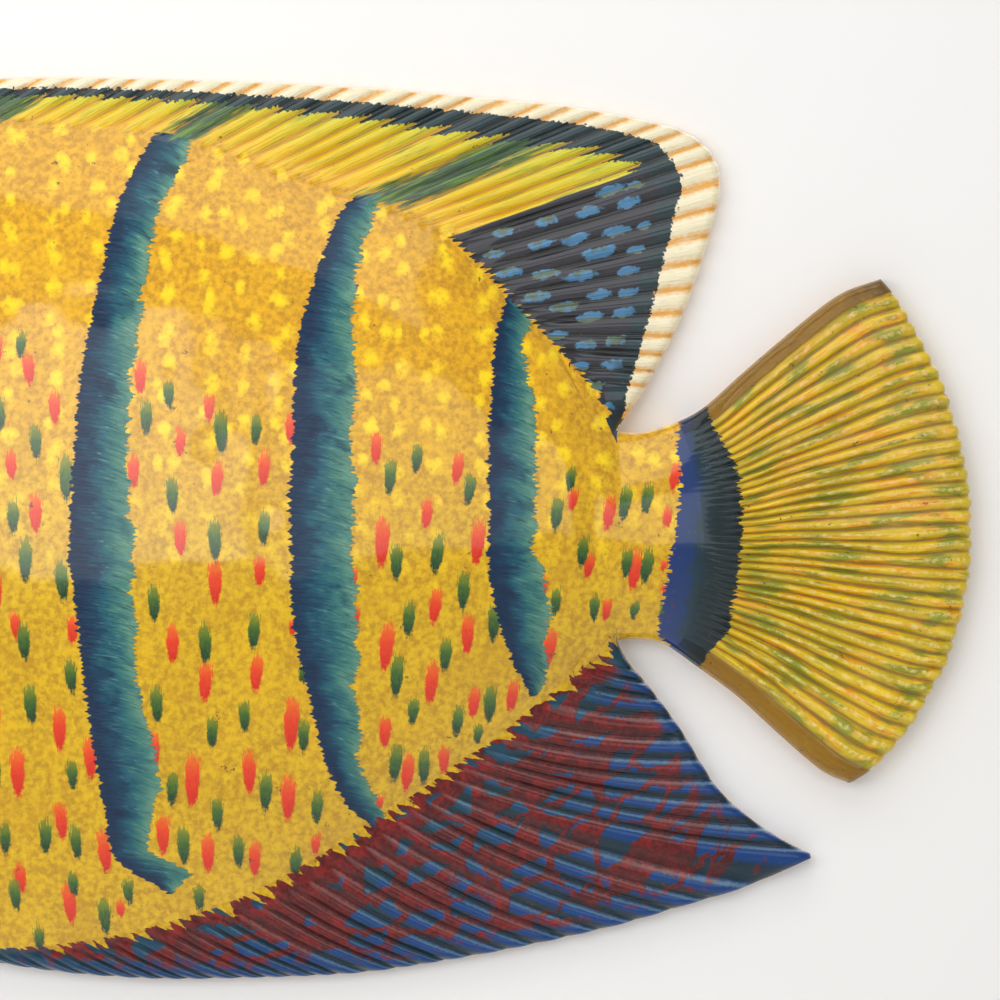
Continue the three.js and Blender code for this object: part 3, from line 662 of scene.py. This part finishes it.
class Term:
    """One output of a shader node. Arithmetic on terms adds Math nodes to their material."""

    def __init__(self, tree, socket=None):
        self.tree = tree
        self.socket = socket

    def node(self, kind, settings=None, inputs=None, output=0):
        """Adds a node: its own settings or a ramp's stops first, then its sockets. Gives an output."""
        node = self.tree.nodes.new("ShaderNode" + kind)
        for name, value in (settings or {}).items():
            if name == "stops":
                ramp = node.color_ramp
                while len(ramp.elements) < len(value):
                    ramp.elements.new(0.5)
                for element, (place, colour) in zip(ramp.elements, value):
                    element.position = place
                    element.color = colour
            else:
                setattr(node, name, value)
        for name, value in (inputs or {}).items():
            if isinstance(value, Term):
                self.tree.links.new(value.socket, node.inputs[name])
            else:
                node.inputs[name].default_value = value
        return Term(self.tree, node.outputs[output] if node.outputs else None)

    def math(self, operation, *others):
        inputs = dict(enumerate((self, *others)))
        return self.node("Math", {"operation": operation}, inputs)

    def __add__(self, other):
        return self.math("ADD", other)

    __radd__ = __add__

    def __sub__(self, other):
        return self.math("SUBTRACT", other)

    def __rsub__(self, other):
        return self.node("Math", {"operation": "SUBTRACT"}, {0: other, 1: self})

    def __mul__(self, other):
        return self.math("MULTIPLY", other)

    __rmul__ = __mul__

    def __truediv__(self, other):
        return self.math("DIVIDE", other)

    def __neg__(self):
        return self * -1.0

    def __abs__(self):
        return self.math("ABSOLUTE")

    def whole(self):
        return self.math("FLOOR")

    def rest(self):
        return self.math("FRACT")

    def over(self, low, high):
        """0 below low, 1 above high and straight between them."""
        return self.node("MapRange", {}, {"Value": self, "From Min": low, "From Max": high})

    def least(self, other):
        return self.math("MINIMUM", other)

    def most(self, other):
        return self.math("MAXIMUM", other)


def paint(red, green, blue):
    """A colour from its usual 0 to 255 values, in Blender's linear light."""
    share = np.array([red, green, blue]) / 255
    linear = np.where(share <= 0.04045, share / 12.92, ((share + 0.055) / 1.055) ** 2.4)
    return (*linear.tolist(), 1.0)


class Brush:
    """What the paints of one material share: the material's tree, its places and its noises."""

    def __init__(self, name):
        self.material = bpy.data.materials.new(name)
        self.material.use_nodes = True
        self.tree = self.material.node_tree
        self.tree.nodes.clear()
        self.start = Term(self.tree)
        spot = self.start.node("TexCoord", output="Object")
        scaled = spot.node("VectorMath", {"operation": "SCALE"}, {0: spot, "Scale": 1000.0})
        self.spot = scaled
        self.x, _, self.z = self.parts(scaled)

    def parts(self, vector):
        return [vector.node("SeparateXYZ", {}, {0: vector}, output=axis) for axis in range(3)]

    def read(self, name):
        """The three numbers that the mesh holds under a name."""
        return self.parts(self.start.node("Attribute", {"attribute_name": name}, output="Vector"))

    def vector(self, x, y, z=0.0):
        return self.start.node("CombineXYZ", {}, {0: x, 1: y, 2: z})

    def noise(self, vector, scale=1.0, detail=2.0, warp=0.0, rough=0.5):
        """Noise about 0, rarely beyond -0.5 and 0.5, and mostly within half of that."""
        return self.start.node("TexNoise", {}, {
            "Vector": vector, "Scale": scale, "Detail": detail, "Roughness": rough,
            "Distortion": warp,
        }) - 0.5

    def drawn(self, x_size, z_size, **settings):
        """Noise whose grain is as wide and as high as given, in millimetres."""
        return self.noise(self.vector(self.x / x_size, self.z / z_size), **settings)

    def chance(self, *values):
        """One random number from 0 to 1 for each value of up to three terms."""
        return self.start.node("TexWhiteNoise", {}, {"Vector": self.vector(*values)}, output="Value")

    def teeth(self, place, least=0.3):
        """Pointed teeth of chance heights, one for each whole step of the place, from 0 to 1."""
        height = self.chance(place.whole(), 1.0) * (1.0 - least) + least
        return (1.0 - abs(place.rest() * 2.0 - 1.0)) * height

    def blend(self, factor, under, over):
        """The colour under where the factor is 0 and the colour over where it is 1."""
        return self.start.node("Mix", {"data_type": "RGBA"}, {0: factor, 6: under, 7: over}, output=2)

    def ramp(self, share, *stops):
        """A colour that runs through stops of (share, colour)."""
        return self.start.node("ValToRGB", {"stops": stops}, {0: share})


def yellow_ground(brush):
    """Yellow with a brown stipple and soft lighter dabs, each brushed out downwards."""
    fine = brush.noise(brush.spot, 0.62, detail=3.0, rough=0.6)
    broad = brush.noise(brush.spot, 0.07, detail=2.0)
    high = brush.z.over(-20.0, 45.0)
    deep = brush.blend(high, paint(182, 136, 8), paint(190, 134, 8))
    clear = brush.blend(high, paint(218, 176, 8), paint(232, 172, 4))
    colour = brush.blend(fine.over(-0.13, 0.12), deep, clear)
    colour = brush.blend(brush.drawn(1.6, 2.4, detail=2.0).over(0.05, 0.3) * 0.6, colour,
                         paint(236, 192, 8))
    colour = brush.blend(broad.over(0.0, 0.25) * 0.4, colour, paint(196, 146, 10))
    colour = brush.blend(broad.over(0.0, -0.25) * 0.35, colour, paint(238, 186, 6))
    flames = brush.z.over(-28.0, 20.0)
    for shift, width, height in ((0.0, 9.6, 8.2), (0.5, 13.3, 10.6)):
        column = brush.x / width + shift
        row = brush.z / height + brush.chance(column.whole(), shift) * 1.3
        luck = brush.chance(column.whole(), row.whole(), shift + 0.2)
        luckier = brush.chance(column.whole(), row.whole(), shift + 0.7)
        u = (column.rest() - 0.3 - 0.4 * luck) * width
        v = (row.rest() - 0.35 - 0.25 * luckier) * height + fine * 1.5
        reach = (u / (1.3 + 0.8 * luck)).math("POWER", 2.0) + (v / (1.9 + luckier)).math("POWER", 2.0)
        flame = (1.2 - reach + fine * 2.4).over(0.0, 1.2) * (v + 3.0).over(-0.5, 3.5)
        colour = brush.blend(flame * flames * 0.9, colour, paint(255, 216, 6))
    return colour


def dabs(brush, colour):
    """Red and green brush dabs, blunt with bristles at the top and drawn to a point at the foot."""
    red, green, _ = brush.read("dabs")
    red_up, green_up, _ = brush.read("dab_height")
    comb = brush.drawn(0.34, 2.4, detail=1.0)
    ends = brush.drawn(0.9, 0.9, detail=2.0)
    for inside, up, dark, light in (
            (red, red_up, paint(206, 34, 4), paint(234, 74, 20)),
            (green, green_up, paint(14, 58, 26), paint(80, 118, 26))):
        ragged = comb * (up.over(0.0, 1.0) * 3.0 + 0.6) + ends * 0.9
        shade = brush.blend((up + comb * 1.2 + ends).over(-0.6, 0.8), dark, light)
        cover = (inside + ragged).over(-0.05, 0.3) * (1.0 - up.over(0.2, 1.0) * 0.3)
        colour = brush.blend(cover, colour, shade)
    return colour


def blue_bands(brush, colour):
    """Blue bands, navy and saw-toothed on the left, with combed sea-green tufts on the right.

    Gives the colour, how much of it is band, and the height of the brush marks.
    """
    depth, across, _ = brush.read("bands")
    right = across.over(0.35, 0.6)
    saw = brush.drawn(6.0, 0.95, detail=1.0) * 3.6
    lumps = brush.drawn(30.0, 6.5, detail=1.0) * 5.5 + brush.drawn(3.2, 0.75, detail=2.0) * 5.0
    inside = depth + saw * (1.0 - right) + lumps * right
    sag = brush.z + across * across * 3.2
    tufts = brush.noise(brush.vector(brush.x / 9.0, sag / 6.0), detail=2.0, warp=0.7)
    strands = brush.noise(brush.vector(brush.x / 5.5, sag / 0.75), detail=3.0, warp=1.1, rough=0.62)
    share = across + tufts * 0.75 + strands * 0.35
    deep = brush.ramp(share, (0.16, paint(8, 42, 74)), (0.36, paint(8, 64, 90)),
                      (0.56, paint(30, 94, 108)), (0.76, paint(58, 118, 112)),
                      (1.0, paint(96, 146, 124)))
    deep = brush.blend(strands.over(0.08, 0.24) * across.over(0.25, 0.6) * 0.6, deep,
                       paint(124, 168, 150))
    deep = brush.blend(strands.over(-0.06, -0.24) * 0.7, deep, paint(8, 38, 62))
    deep = brush.blend(tufts.over(-0.12, -0.26) * 0.7, deep, paint(8, 32, 60))
    cover = inside.over(0.0, 0.3)
    marks = strands * 0.9 + tufts * 0.8 + 0.25
    return brush.blend(cover, colour, deep), cover, marks


def peduncle_band(brush, colour):
    """The band before the tail: bright blue on its left third, green-black with grey scuffs."""
    depth, across, _ = brush.read("tail_band")
    edge = brush.drawn(3.5, 0.9, detail=2.0) * 5.5
    smear = brush.noise(brush.spot, 0.33, detail=3.0, warp=1.0)
    share = across + smear * 0.35
    deep = brush.ramp(share, (0.1, paint(6, 44, 104)), (0.28, paint(4, 46, 96)),
                      (0.38, paint(10, 46, 62)), (0.6, paint(10, 36, 40)), (1.0, paint(6, 28, 30)))
    scuff = brush.noise(brush.spot, 0.45, detail=4.0, warp=0.6, rough=0.7).over(0.1, 0.28)
    deep = brush.blend(scuff * 0.35, deep, paint(84, 112, 124))
    return brush.blend((depth + edge).over(0.0, 0.3), colour, deep)


def varnished(brush, colour, bump, rough=0.34, coat=0.85):
    """Paint under a clear glossy varnish. Bump is the height of the brush marks in millimetres."""
    normal = brush.start.node("Bump", {}, {
        "Strength": 1.0, "Distance": 1.0, "Height": bump * 0.001})
    shader = brush.start.node("BsdfPrincipled", {}, {
        "Base Color": colour, "Roughness": rough, "Normal": normal, "Coat Weight": coat,
        "Coat Roughness": 0.07, "Specular IOR Level": 0.2})
    brush.start.node("OutputMaterial", {}, {"Surface": shader})
    return brush.material


def specks_and_dark_wall_foot(brush, colour):
    """A few brown specks, and a dull brown that darkens the side walls of the board further down towards
    the back.
    """
    speck = brush.noise(brush.spot, 0.4, detail=0.0).over(0.3, 0.32)
    speck = speck * brush.noise(brush.spot, 1.6, detail=1.0).over(0.02, 0.1)
    colour = brush.blend(speck * 0.8, colour, paint(80, 50, 18))
    # Darker brown down the side walls towards the back, reaching unevenly.
    _, fall, _ = brush.read("level")
    uneven_depth = fall + brush.noise(brush.spot, 0.8, detail=3.0) * 4.0
    return brush.blend(uneven_depth.over(1.6, 4.5) * 0.6, colour, paint(96, 70, 44))


def body_paint():
    brush = Brush("painted_body")
    colour = dabs(brush, yellow_ground(brush))
    colour, band, marks = blue_bands(brush, colour)
    colour = peduncle_band(brush, colour)
    colour = head_paint(brush, colour)
    colour = specks_and_dark_wall_foot(brush, colour)
    red, green, _ = brush.read("dabs")
    raised = red.most(green).over(0.0, 0.5) * 0.12
    bump = brush.noise(brush.spot, 0.5, detail=3.0) * 0.16 + raised + band * marks * 0.7
    return varnished(brush, colour, bump, rough=0.36 - 0.16 * band, coat=0.85 - 0.5 * band)


def head_paint(brush, colour):
    """A dark ring and pupil in the eye, and darker lips."""
    _, _, eye = brush.read("rim")
    fins, lips, _ = brush.read("side_fins")
    uneven = brush.noise(brush.spot, 0.9) * 0.7
    colour = brush.blend(fins.over(0.3, 0.7) * 0.6, colour, paint(238, 196, 30))
    colour = brush.blend(1.0 - (eye + uneven).over(10.6, 11.0), colour, paint(16, 62, 110))
    colour = brush.blend(1.0 - (eye + uneven).over(8.6, 8.9), colour, paint(232, 190, 20))
    colour = brush.blend(1.0 - (eye + uneven * 0.5).over(5.0, 5.3), colour, paint(12, 14, 18))
    return brush.blend(lips.over(0.2, 0.8) * 0.8, colour, paint(196, 112, 24))


class Rays:
    """What the paint of a ribbed fin needs to know about its rays."""

    def __init__(self, brush):
        self.rib, _, self.inward = brush.read("carving")
        self.out, self.length, _ = brush.read("ray")
        self.share = self.out / self.length.most(4.0)
        self.number = (self.rib + 0.5).whole()
        self.aside = self.rib - self.number
        self.crest = abs((self.rib * np.pi).math("COSINE"))
        self.streaks = brush.noise(brush.vector(self.rib * 3.4, self.out / 14.0), detail=3.0,
                                   rough=0.6)
        self.hairs = brush.noise(brush.vector(self.rib * 11.0, self.out / 9.0), detail=2.0)


def back_fin_paint():
    brush = Brush("painted_back_fin")
    rays = Rays(brush)
    rim_width, line_width, _ = brush.read("rim")
    ground, band, marks = blue_bands(brush, yellow_ground(brush))

    # Lime and yellow rays with orange valleys, olive towards the edge.
    outer = (rays.share + rays.streaks * 0.8).over(0.1, 0.75)
    colour = brush.blend(outer, paint(238, 188, 8), paint(204, 200, 30))
    colour = brush.blend(rays.hairs.over(0.04, 0.2) * 0.6, colour, paint(230, 214, 40))
    valley = (0.55 - rays.crest + rays.hairs * 0.6).over(0.0, 0.4)
    colour = brush.blend(valley * 0.8, colour, paint(222, 146, 8))
    # Painted shade: dark olive streaks down the valleys between the rays, stronger towards the edge.
    colour = brush.blend(valley * outer * (rays.hairs.over(-0.1, 0.1)) * 0.75, colour,
                         paint(112, 116, 18))
    olive = (rays.streaks + rays.hairs * 0.7).over(0.06, 0.22) * (outer * 0.5 + 0.25)
    colour = brush.blend(olive, colour, paint(118, 138, 36))
    for low, high in ((15.4, 17.7), (26.2, 28.1), (33.2, 35.5), (41.2, 42.9)):
        middle, half = (low + high) / 2, (high - low) / 2
        taper = half * (1.15 - 0.5 * rays.share)
        within = (taper - abs(rays.rib - middle) + rays.streaks * 2.4).over(-0.1, 0.35)
        shade = brush.blend((rays.hairs + rays.streaks).over(-0.05, 0.22), paint(22, 72, 60),
                            paint(92, 134, 44))
        colour = brush.blend(within * 0.95, colour, shade)
    out = (rays.out - 2.0 + rays.streaks * 14.0 + rays.hairs * 6.0).over(0.0, 2.5)
    colour = brush.blend(out, ground, colour)

    # The black patch with its blue and olive dabs, painted black in the grooves and charcoal on the
    # crests as painted shade.
    black = brush.blend(rays.crest.over(0.25, 0.9), paint(8, 10, 13), paint(44, 44, 52))
    black = brush.blend(rays.hairs.over(0.05, 0.25) * 0.3, black, paint(66, 66, 74))
    _, _, dab = brush.read("dabs")
    patchy = brush.noise(brush.spot, 0.55, detail=3.0)
    tint = brush.blend((patchy * 2.6 - rays.aside * 1.6).over(-0.35, 0.3), paint(86, 104, 76),
                       paint(72, 134, 180))
    tint = brush.blend(rays.hairs.over(0.0, 0.25) * 0.5, tint, paint(120, 168, 200))
    black = brush.blend((dab + patchy * 1.6).over(0.0, 0.25) * 0.92, black, tint)
    near_rim = 1.0 - (rays.inward - rim_width + patchy * 5.0).over(1.0, 6.0)
    black = brush.blend(near_rim * 0.75, black, paint(10, 40, 50))
    spikes = brush.teeth(rays.rib * 2.6 + rays.streaks) * 3.4 + rays.hairs * 3.0
    patch = (rays.out + 0.6 - spikes).over(0.0, 0.4)
    patch = patch * (12.0 + rays.share * 0.3 - rays.rib + rays.streaks * 0.25).over(0.0, 0.06)
    colour = brush.blend(patch, colour, black)

    # The dark line that the rays run into, in slanted steps, and the pale rim.
    step = (rays.rib + 0.55).rest()
    nibbles = brush.noise(brush.spot, 0.9, detail=2.0)
    line = line_width * (0.75 + step * 0.5) + nibbles * 3.2 + rays.hairs * 1.5
    # Painted shade: the dark line is darker in the grooves than on the crests.
    dark = brush.blend(rays.crest.over(0.2, 0.9), paint(8, 26, 28), paint(24, 50, 54))
    dark = brush.blend((rays.streaks + patchy).over(0.08, 0.3) * 0.6, dark, paint(24, 66, 80))
    colour = brush.blend((rim_width + line - rays.inward).over(0.0, 0.3), colour, dark)
    stripe = (0.62 - rays.crest + nibbles * 0.8).over(-0.1, 0.45)
    rim = brush.blend(stripe, paint(238, 226, 190), paint(234, 168, 66))
    rim = brush.blend(patchy.over(0.05, 0.3) * 0.5, rim, paint(206, 204, 168))
    rim = brush.blend(rays.hairs.over(0.05, 0.25) * 0.5, rim, paint(250, 244, 226))
    edge = rim_width - rays.inward + nibbles * 2.6
    colour = brush.blend(edge.over(0.0, 0.25), colour, rim)
    colour = specks_and_dark_wall_foot(brush, colour)
    bump = rays.hairs * 0.4 + rays.streaks * 0.3 + patch * dab.over(0.0, 0.4) * 0.2
    return varnished(brush, colour, bump + band * (1.0 - out) * marks * 0.5)


def belly_fin_paint():
    brush = Brush("painted_belly_fin")
    rays = Rays(brush)
    ground, band, marks = blue_bands(brush, dabs(brush, yellow_ground(brush)))
    wet = brush.noise(brush.spot, 0.28, detail=3.0)
    grain = brush.noise(brush.spot, 1.1, detail=2.0)

    # Each rib has a blue face, a painted highlight in pale blue-grey along its upper edge, and painted
    # shade in green-black down the groove below it.
    upper = (rays.share + wet * 0.8).over(0.15, 0.5) * rays.out.over(5.0, 16.0)
    face = brush.blend(upper, paint(5, 66, 94), paint(2, 56, 116))
    face = brush.blend(wet.over(0.0, 0.3) * 0.5, face, paint(3, 72, 138))
    place = rays.aside + grain * 0.12
    # Painted shade: green-black down the groove below each rib.
    groove = place.over(0.08, 0.2).most(1.0 - place.over(-0.46, -0.38))
    ribbed = rays.out.over(4.0, 9.0) * (43.0 - rays.rib).over(0.0, 1.0)
    colour = brush.blend(groove * (ribbed * 0.8 + 0.1), face, paint(4, 36, 40))
    # Painted highlight: a pale blue-grey line along the upper edge of each rib.
    painted_ledge_highlight = 1.0 - abs(place + 0.31).over(0.02, 0.1)
    colour = brush.blend(painted_ledge_highlight * ribbed * 0.75, colour, paint(92, 126, 144))

    # A net of dark red strokes, close near the body and broken further out.
    run = brush.vector(rays.rib * 0.46 + wet * 0.5, rays.out / 8.6 + wet * 0.6)
    cell = brush.start.node("TexVoronoi", {"feature": "DISTANCE_TO_EDGE"}, {
        "Vector": run, "Scale": 1.0, "Randomness": 0.85})
    spread = (rays.out + wet * 20.0).over(6.0, 42.0)
    strokes = brush.noise(brush.vector(rays.rib * 0.4, rays.out / 13.0, 4.0), detail=1.0)
    width = 0.2 - spread * 0.11 + (strokes + grain * 0.2) * 0.34
    red = (width - cell).over(0.0, 0.03)
    red = red * (rays.inward + wet * 14.0).over(3.0, 6.0)
    maroon = brush.blend((grain + wet).over(-0.15, 0.25), paint(76, 8, 8), paint(134, 18, 14))
    # Over the red too: painted shade in the grooves and a painted highlight along the upper edges.
    maroon = brush.blend(groove * ribbed * 0.5, maroon, paint(36, 14, 16))
    maroon = brush.blend(painted_ledge_highlight * ribbed * 0.6, maroon, paint(142, 104, 100))
    colour = brush.blend(red, colour, maroon)

    # The yellow runs out in pointed teeth.
    spikes = brush.teeth(rays.rib * 1.45 + wet, 0.15) * 6.5 + brush.teeth(rays.rib * 3.7) * 1.6
    out = (rays.out + 1.2 - spikes + rays.hairs * 2.5).over(0.0, 0.3)
    strip = 1.0 - (rays.out - 2.5 - spikes).over(0.0, 2.0)
    colour = brush.blend(strip * (1.0 - red) * 0.7, colour, paint(10, 58, 76))
    colour = brush.blend(out, ground, colour)
    colour = specks_and_dark_wall_foot(brush, colour)
    bump = rays.hairs * 0.25 + grain * 0.12 + red * out * 0.16
    return varnished(brush, colour, bump + band * (1.0 - out) * marks * 0.5, coat=0.5)


def tail_paint():
    brush = Brush("painted_tail")
    _, across, inward = brush.read("carving")
    _, _, rib = brush.read("bands")
    _, _, station = brush.read("tail_band")
    crest = abs((rib * np.pi).math("COSINE"))
    streaks = brush.noise(brush.vector(rib * 0.8, station * 0.8), detail=3.0, rough=0.62)
    hairs = brush.noise(brush.vector(rib * 3.4, station * 1.1), detail=3.0, rough=0.6)
    other = brush.noise(brush.vector(rib * 1.1, station * 1.0, 7.0), detail=2.0)
    crumbs = brush.noise(brush.vector(rib * 2.0, station * 6.5), detail=3.0, rough=0.7)
    colour = brush.blend(streaks.over(-0.12, 0.1), paint(186, 160, 12), paint(226, 190, 8))
    colour = brush.blend((hairs + streaks * 0.5).over(0.0, 0.12) * 0.85, colour,
                         paint(226, 132, 12))
    colour = brush.blend((other + hairs * 0.4).over(0.02, 0.12) * 0.8, colour, paint(112, 136, 22))
    colour = brush.blend((hairs - other).over(0.12, 0.26) * 0.8, colour, paint(238, 206, 20))
    # Painted shade: darker brown down the valleys between the ribs.
    colour = brush.blend((0.62 - crest + crumbs * 0.4).over(0.0, 0.5) * 0.75, colour,
                         paint(122, 82, 8))
    # Painted highlights: pale glints along the crests, peach on the upper half.
    glint = (crest + crumbs * 1.2).over(0.9, 1.15) * station.over(3.0, 4.0)
    upper = across.over(0.25, 0.75)
    colour = brush.blend(glint * 0.75, colour, brush.blend(upper, paint(232, 216, 130),
                                                           paint(238, 190, 120)))
    rim = (1.0 - (inward + crumbs * 3.0).over(0.3, 3.0)) * station.over(6.0, 6.9)
    colour = brush.blend(rim * 0.6, colour, paint(206, 180, 10))
    side = abs(across - 0.5).over(0.49, 0.52)
    film = brush.noise(brush.spot, 0.45, detail=4.0, rough=0.65)
    colour = brush.blend((side * 0.8 + film * 1.4).over(0.25, 0.75) * side, colour,
                         paint(178, 128, 20))
    corner = (station - 6.0 + side + film * 2.0).over(1.0, 1.8) * upper
    colour = brush.blend(corner * 0.6, colour, paint(104, 72, 22))
    specks = brush.noise(brush.spot, 0.8, detail=2.0).over(0.2, 0.26)
    colour = brush.blend(specks * 0.65, colour, paint(66, 50, 14))
    colour = peduncle_band(brush, colour)
    colour = specks_and_dark_wall_foot(brush, colour)
    bump = hairs * 0.5 + crumbs * crest * 0.5
    return varnished(brush, colour, bump, rough=0.3, coat=0.7)


def bare_wood():
    """Pale tropical wood along X: soft growth lines, fine pores and sawing marks."""
    brush = Brush("bare_wood")
    lines = brush.drawn(33.0, 2.5, detail=4.0, warp=0.6, rough=0.55)
    pores = brush.drawn(4.0, 0.31, detail=2.0)
    saw = brush.drawn(1.1, 50.0, detail=1.0)
    colour = brush.blend(lines.over(-0.15, 0.15), paint(176, 140, 98), paint(204, 172, 128))
    colour = brush.blend(pores.over(0.08, 0.2) * 0.6, colour, paint(120, 88, 56))
    colour = brush.blend(brush.noise(brush.spot, 0.02).over(0.0, 0.25) * 0.35, colour,
                         paint(138, 108, 76))
    bump = pores * -0.12 + saw * 0.1 + lines * 0.06
    return varnished(brush, colour, bump, rough=0.72 + pores * 0.2, coat=0.0)


def build_fish():
    """Puts the carving into one mesh, with its paints and what they read."""
    vertices, faces, kinds, smooth, painted = carve()
    mesh = bpy.data.meshes.new("fish_carving")
    mesh.from_pydata(vertices.tolist(), [], faces)
    for make in (body_paint, back_fin_paint, belly_fin_paint, tail_paint, bare_wood):
        mesh.materials.append(make())
    mesh.polygons.foreach_set("material_index", np.array(kinds, np.int32))
    mesh.polygons.foreach_set("use_smooth", smooth)
    for name, values in painted.items():
        attribute = mesh.attributes.new(name, "FLOAT_VECTOR", "POINT")
        attribute.data.foreach_set("vector", values.astype(np.float32).ravel())
    mesh.update()
    piece = bpy.data.objects.new("fish_carving", mesh)
    bpy.context.scene.collection.objects.link(piece)
    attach(piece, "root")
    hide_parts("fish")
    return piece


def sheet_of(name, corners, material):
    """A flat stage piece from its corners."""
    mesh = bpy.data.meshes.new(name)
    mesh.from_pydata(corners, [], [(0, 1, 2, 3)])
    mesh.materials.append(material)
    piece = bpy.data.objects.new(name, mesh)
    bpy.context.scene.collection.objects.link(piece)
    return piece


def stage_material(name, colour, one_sided):
    """A matt pale surface. One-sided, it is clear from behind and lets light from behind pass."""
    material = bpy.data.materials.new(name)
    material.use_nodes = True
    material.node_tree.nodes.clear()
    start = Term(material.node_tree)
    matt = start.node("BsdfDiffuse", {}, {"Color": colour})
    if one_sided:
        behind = start.node("NewGeometry", output="Backfacing")
        shadow = start.node("LightPath", output="Is Shadow Ray")
        clear = start.node("BsdfTransparent")
        matt = start.node("MixShader", {}, {0: behind.most(shadow), 1: matt, 2: clear})
    start.node("OutputMaterial", {}, {"Surface": matt})
    return material


def build_stage():
    """A pale wall that the fish is flat against, and a pale floor below it."""
    wall = stage_material("wall", paint(238, 236, 234), True)
    floor = stage_material("floor", paint(232, 230, 228), False)
    sheet_of("wall", [(-1.6, 0.0006, -0.45), (1.6, 0.0006, -0.45), (1.6, 0.0006, 1.4),
                      (-1.6, 0.0006, 1.4)], wall)
    sheet_of("floor", [(-3, -3, -0.45), (3, -3, -0.45), (3, 3, -0.45), (-3, 3, -0.45)], floor)


def area_light(name, place, target, size, power):
    light = bpy.data.lights.new(name, "AREA")
    light.shape = "RECTANGLE"
    light.size, light.size_y = size
    light.energy = power
    lamp = bpy.data.objects.new(name, light)
    lamp.location = place
    lamp.rotation_euler = (Vector(target) - Vector(place)).to_track_quat("-Z", "Y").to_euler()
    lamp.visible_camera = False
    bpy.context.scene.collection.objects.link(lamp)


def build_light_and_camera():
    """Two windows at the height of the camera, a soft light overhead, and a camera square on."""
    area_light("left_window", (-0.4, -0.62, 0.13), (-0.4, 0, 0.13), (0.84, 0.36), 2.6)
    area_light("right_window", (0.24, -0.62, 0.11), (0.24, 0, 0.11), (0.42, 0.36), 0.6)
    area_light("overhead", (-0.15, -0.5, 0.95), (0.05, 0, 0), (1.3, 0.8), 5)
    area_light("behind", (0.4, 0.9, 0.5), (0, 0, 0), (0.8, 0.8), 12)
    world = bpy.data.worlds.new("room")
    world.use_nodes = True
    background = world.node_tree.nodes["Background"]
    background.inputs["Color"].default_value = (0.96, 0.98, 1, 1)
    background.inputs["Strength"].default_value = 0.5
    scene = bpy.context.scene
    scene.world = world
    scene.view_settings.view_transform = "Standard"
    camera = bpy.data.objects.new("camera", bpy.data.cameras.new("camera"))
    camera.data.lens = 150
    camera.data.sensor_width = 36
    middle = Vector((0.096, 0, 0.005))
    face_depth = 0.009
    reach = 0.25 * camera.data.lens / camera.data.sensor_width
    camera.location = middle + Vector((0, -reach - face_depth, 0))
    camera.rotation_euler = (np.pi / 2, 0, 0)
    scene.collection.objects.link(camera)
    scene.camera = camera


build_fish()
build_stage()
build_light_and_camera()
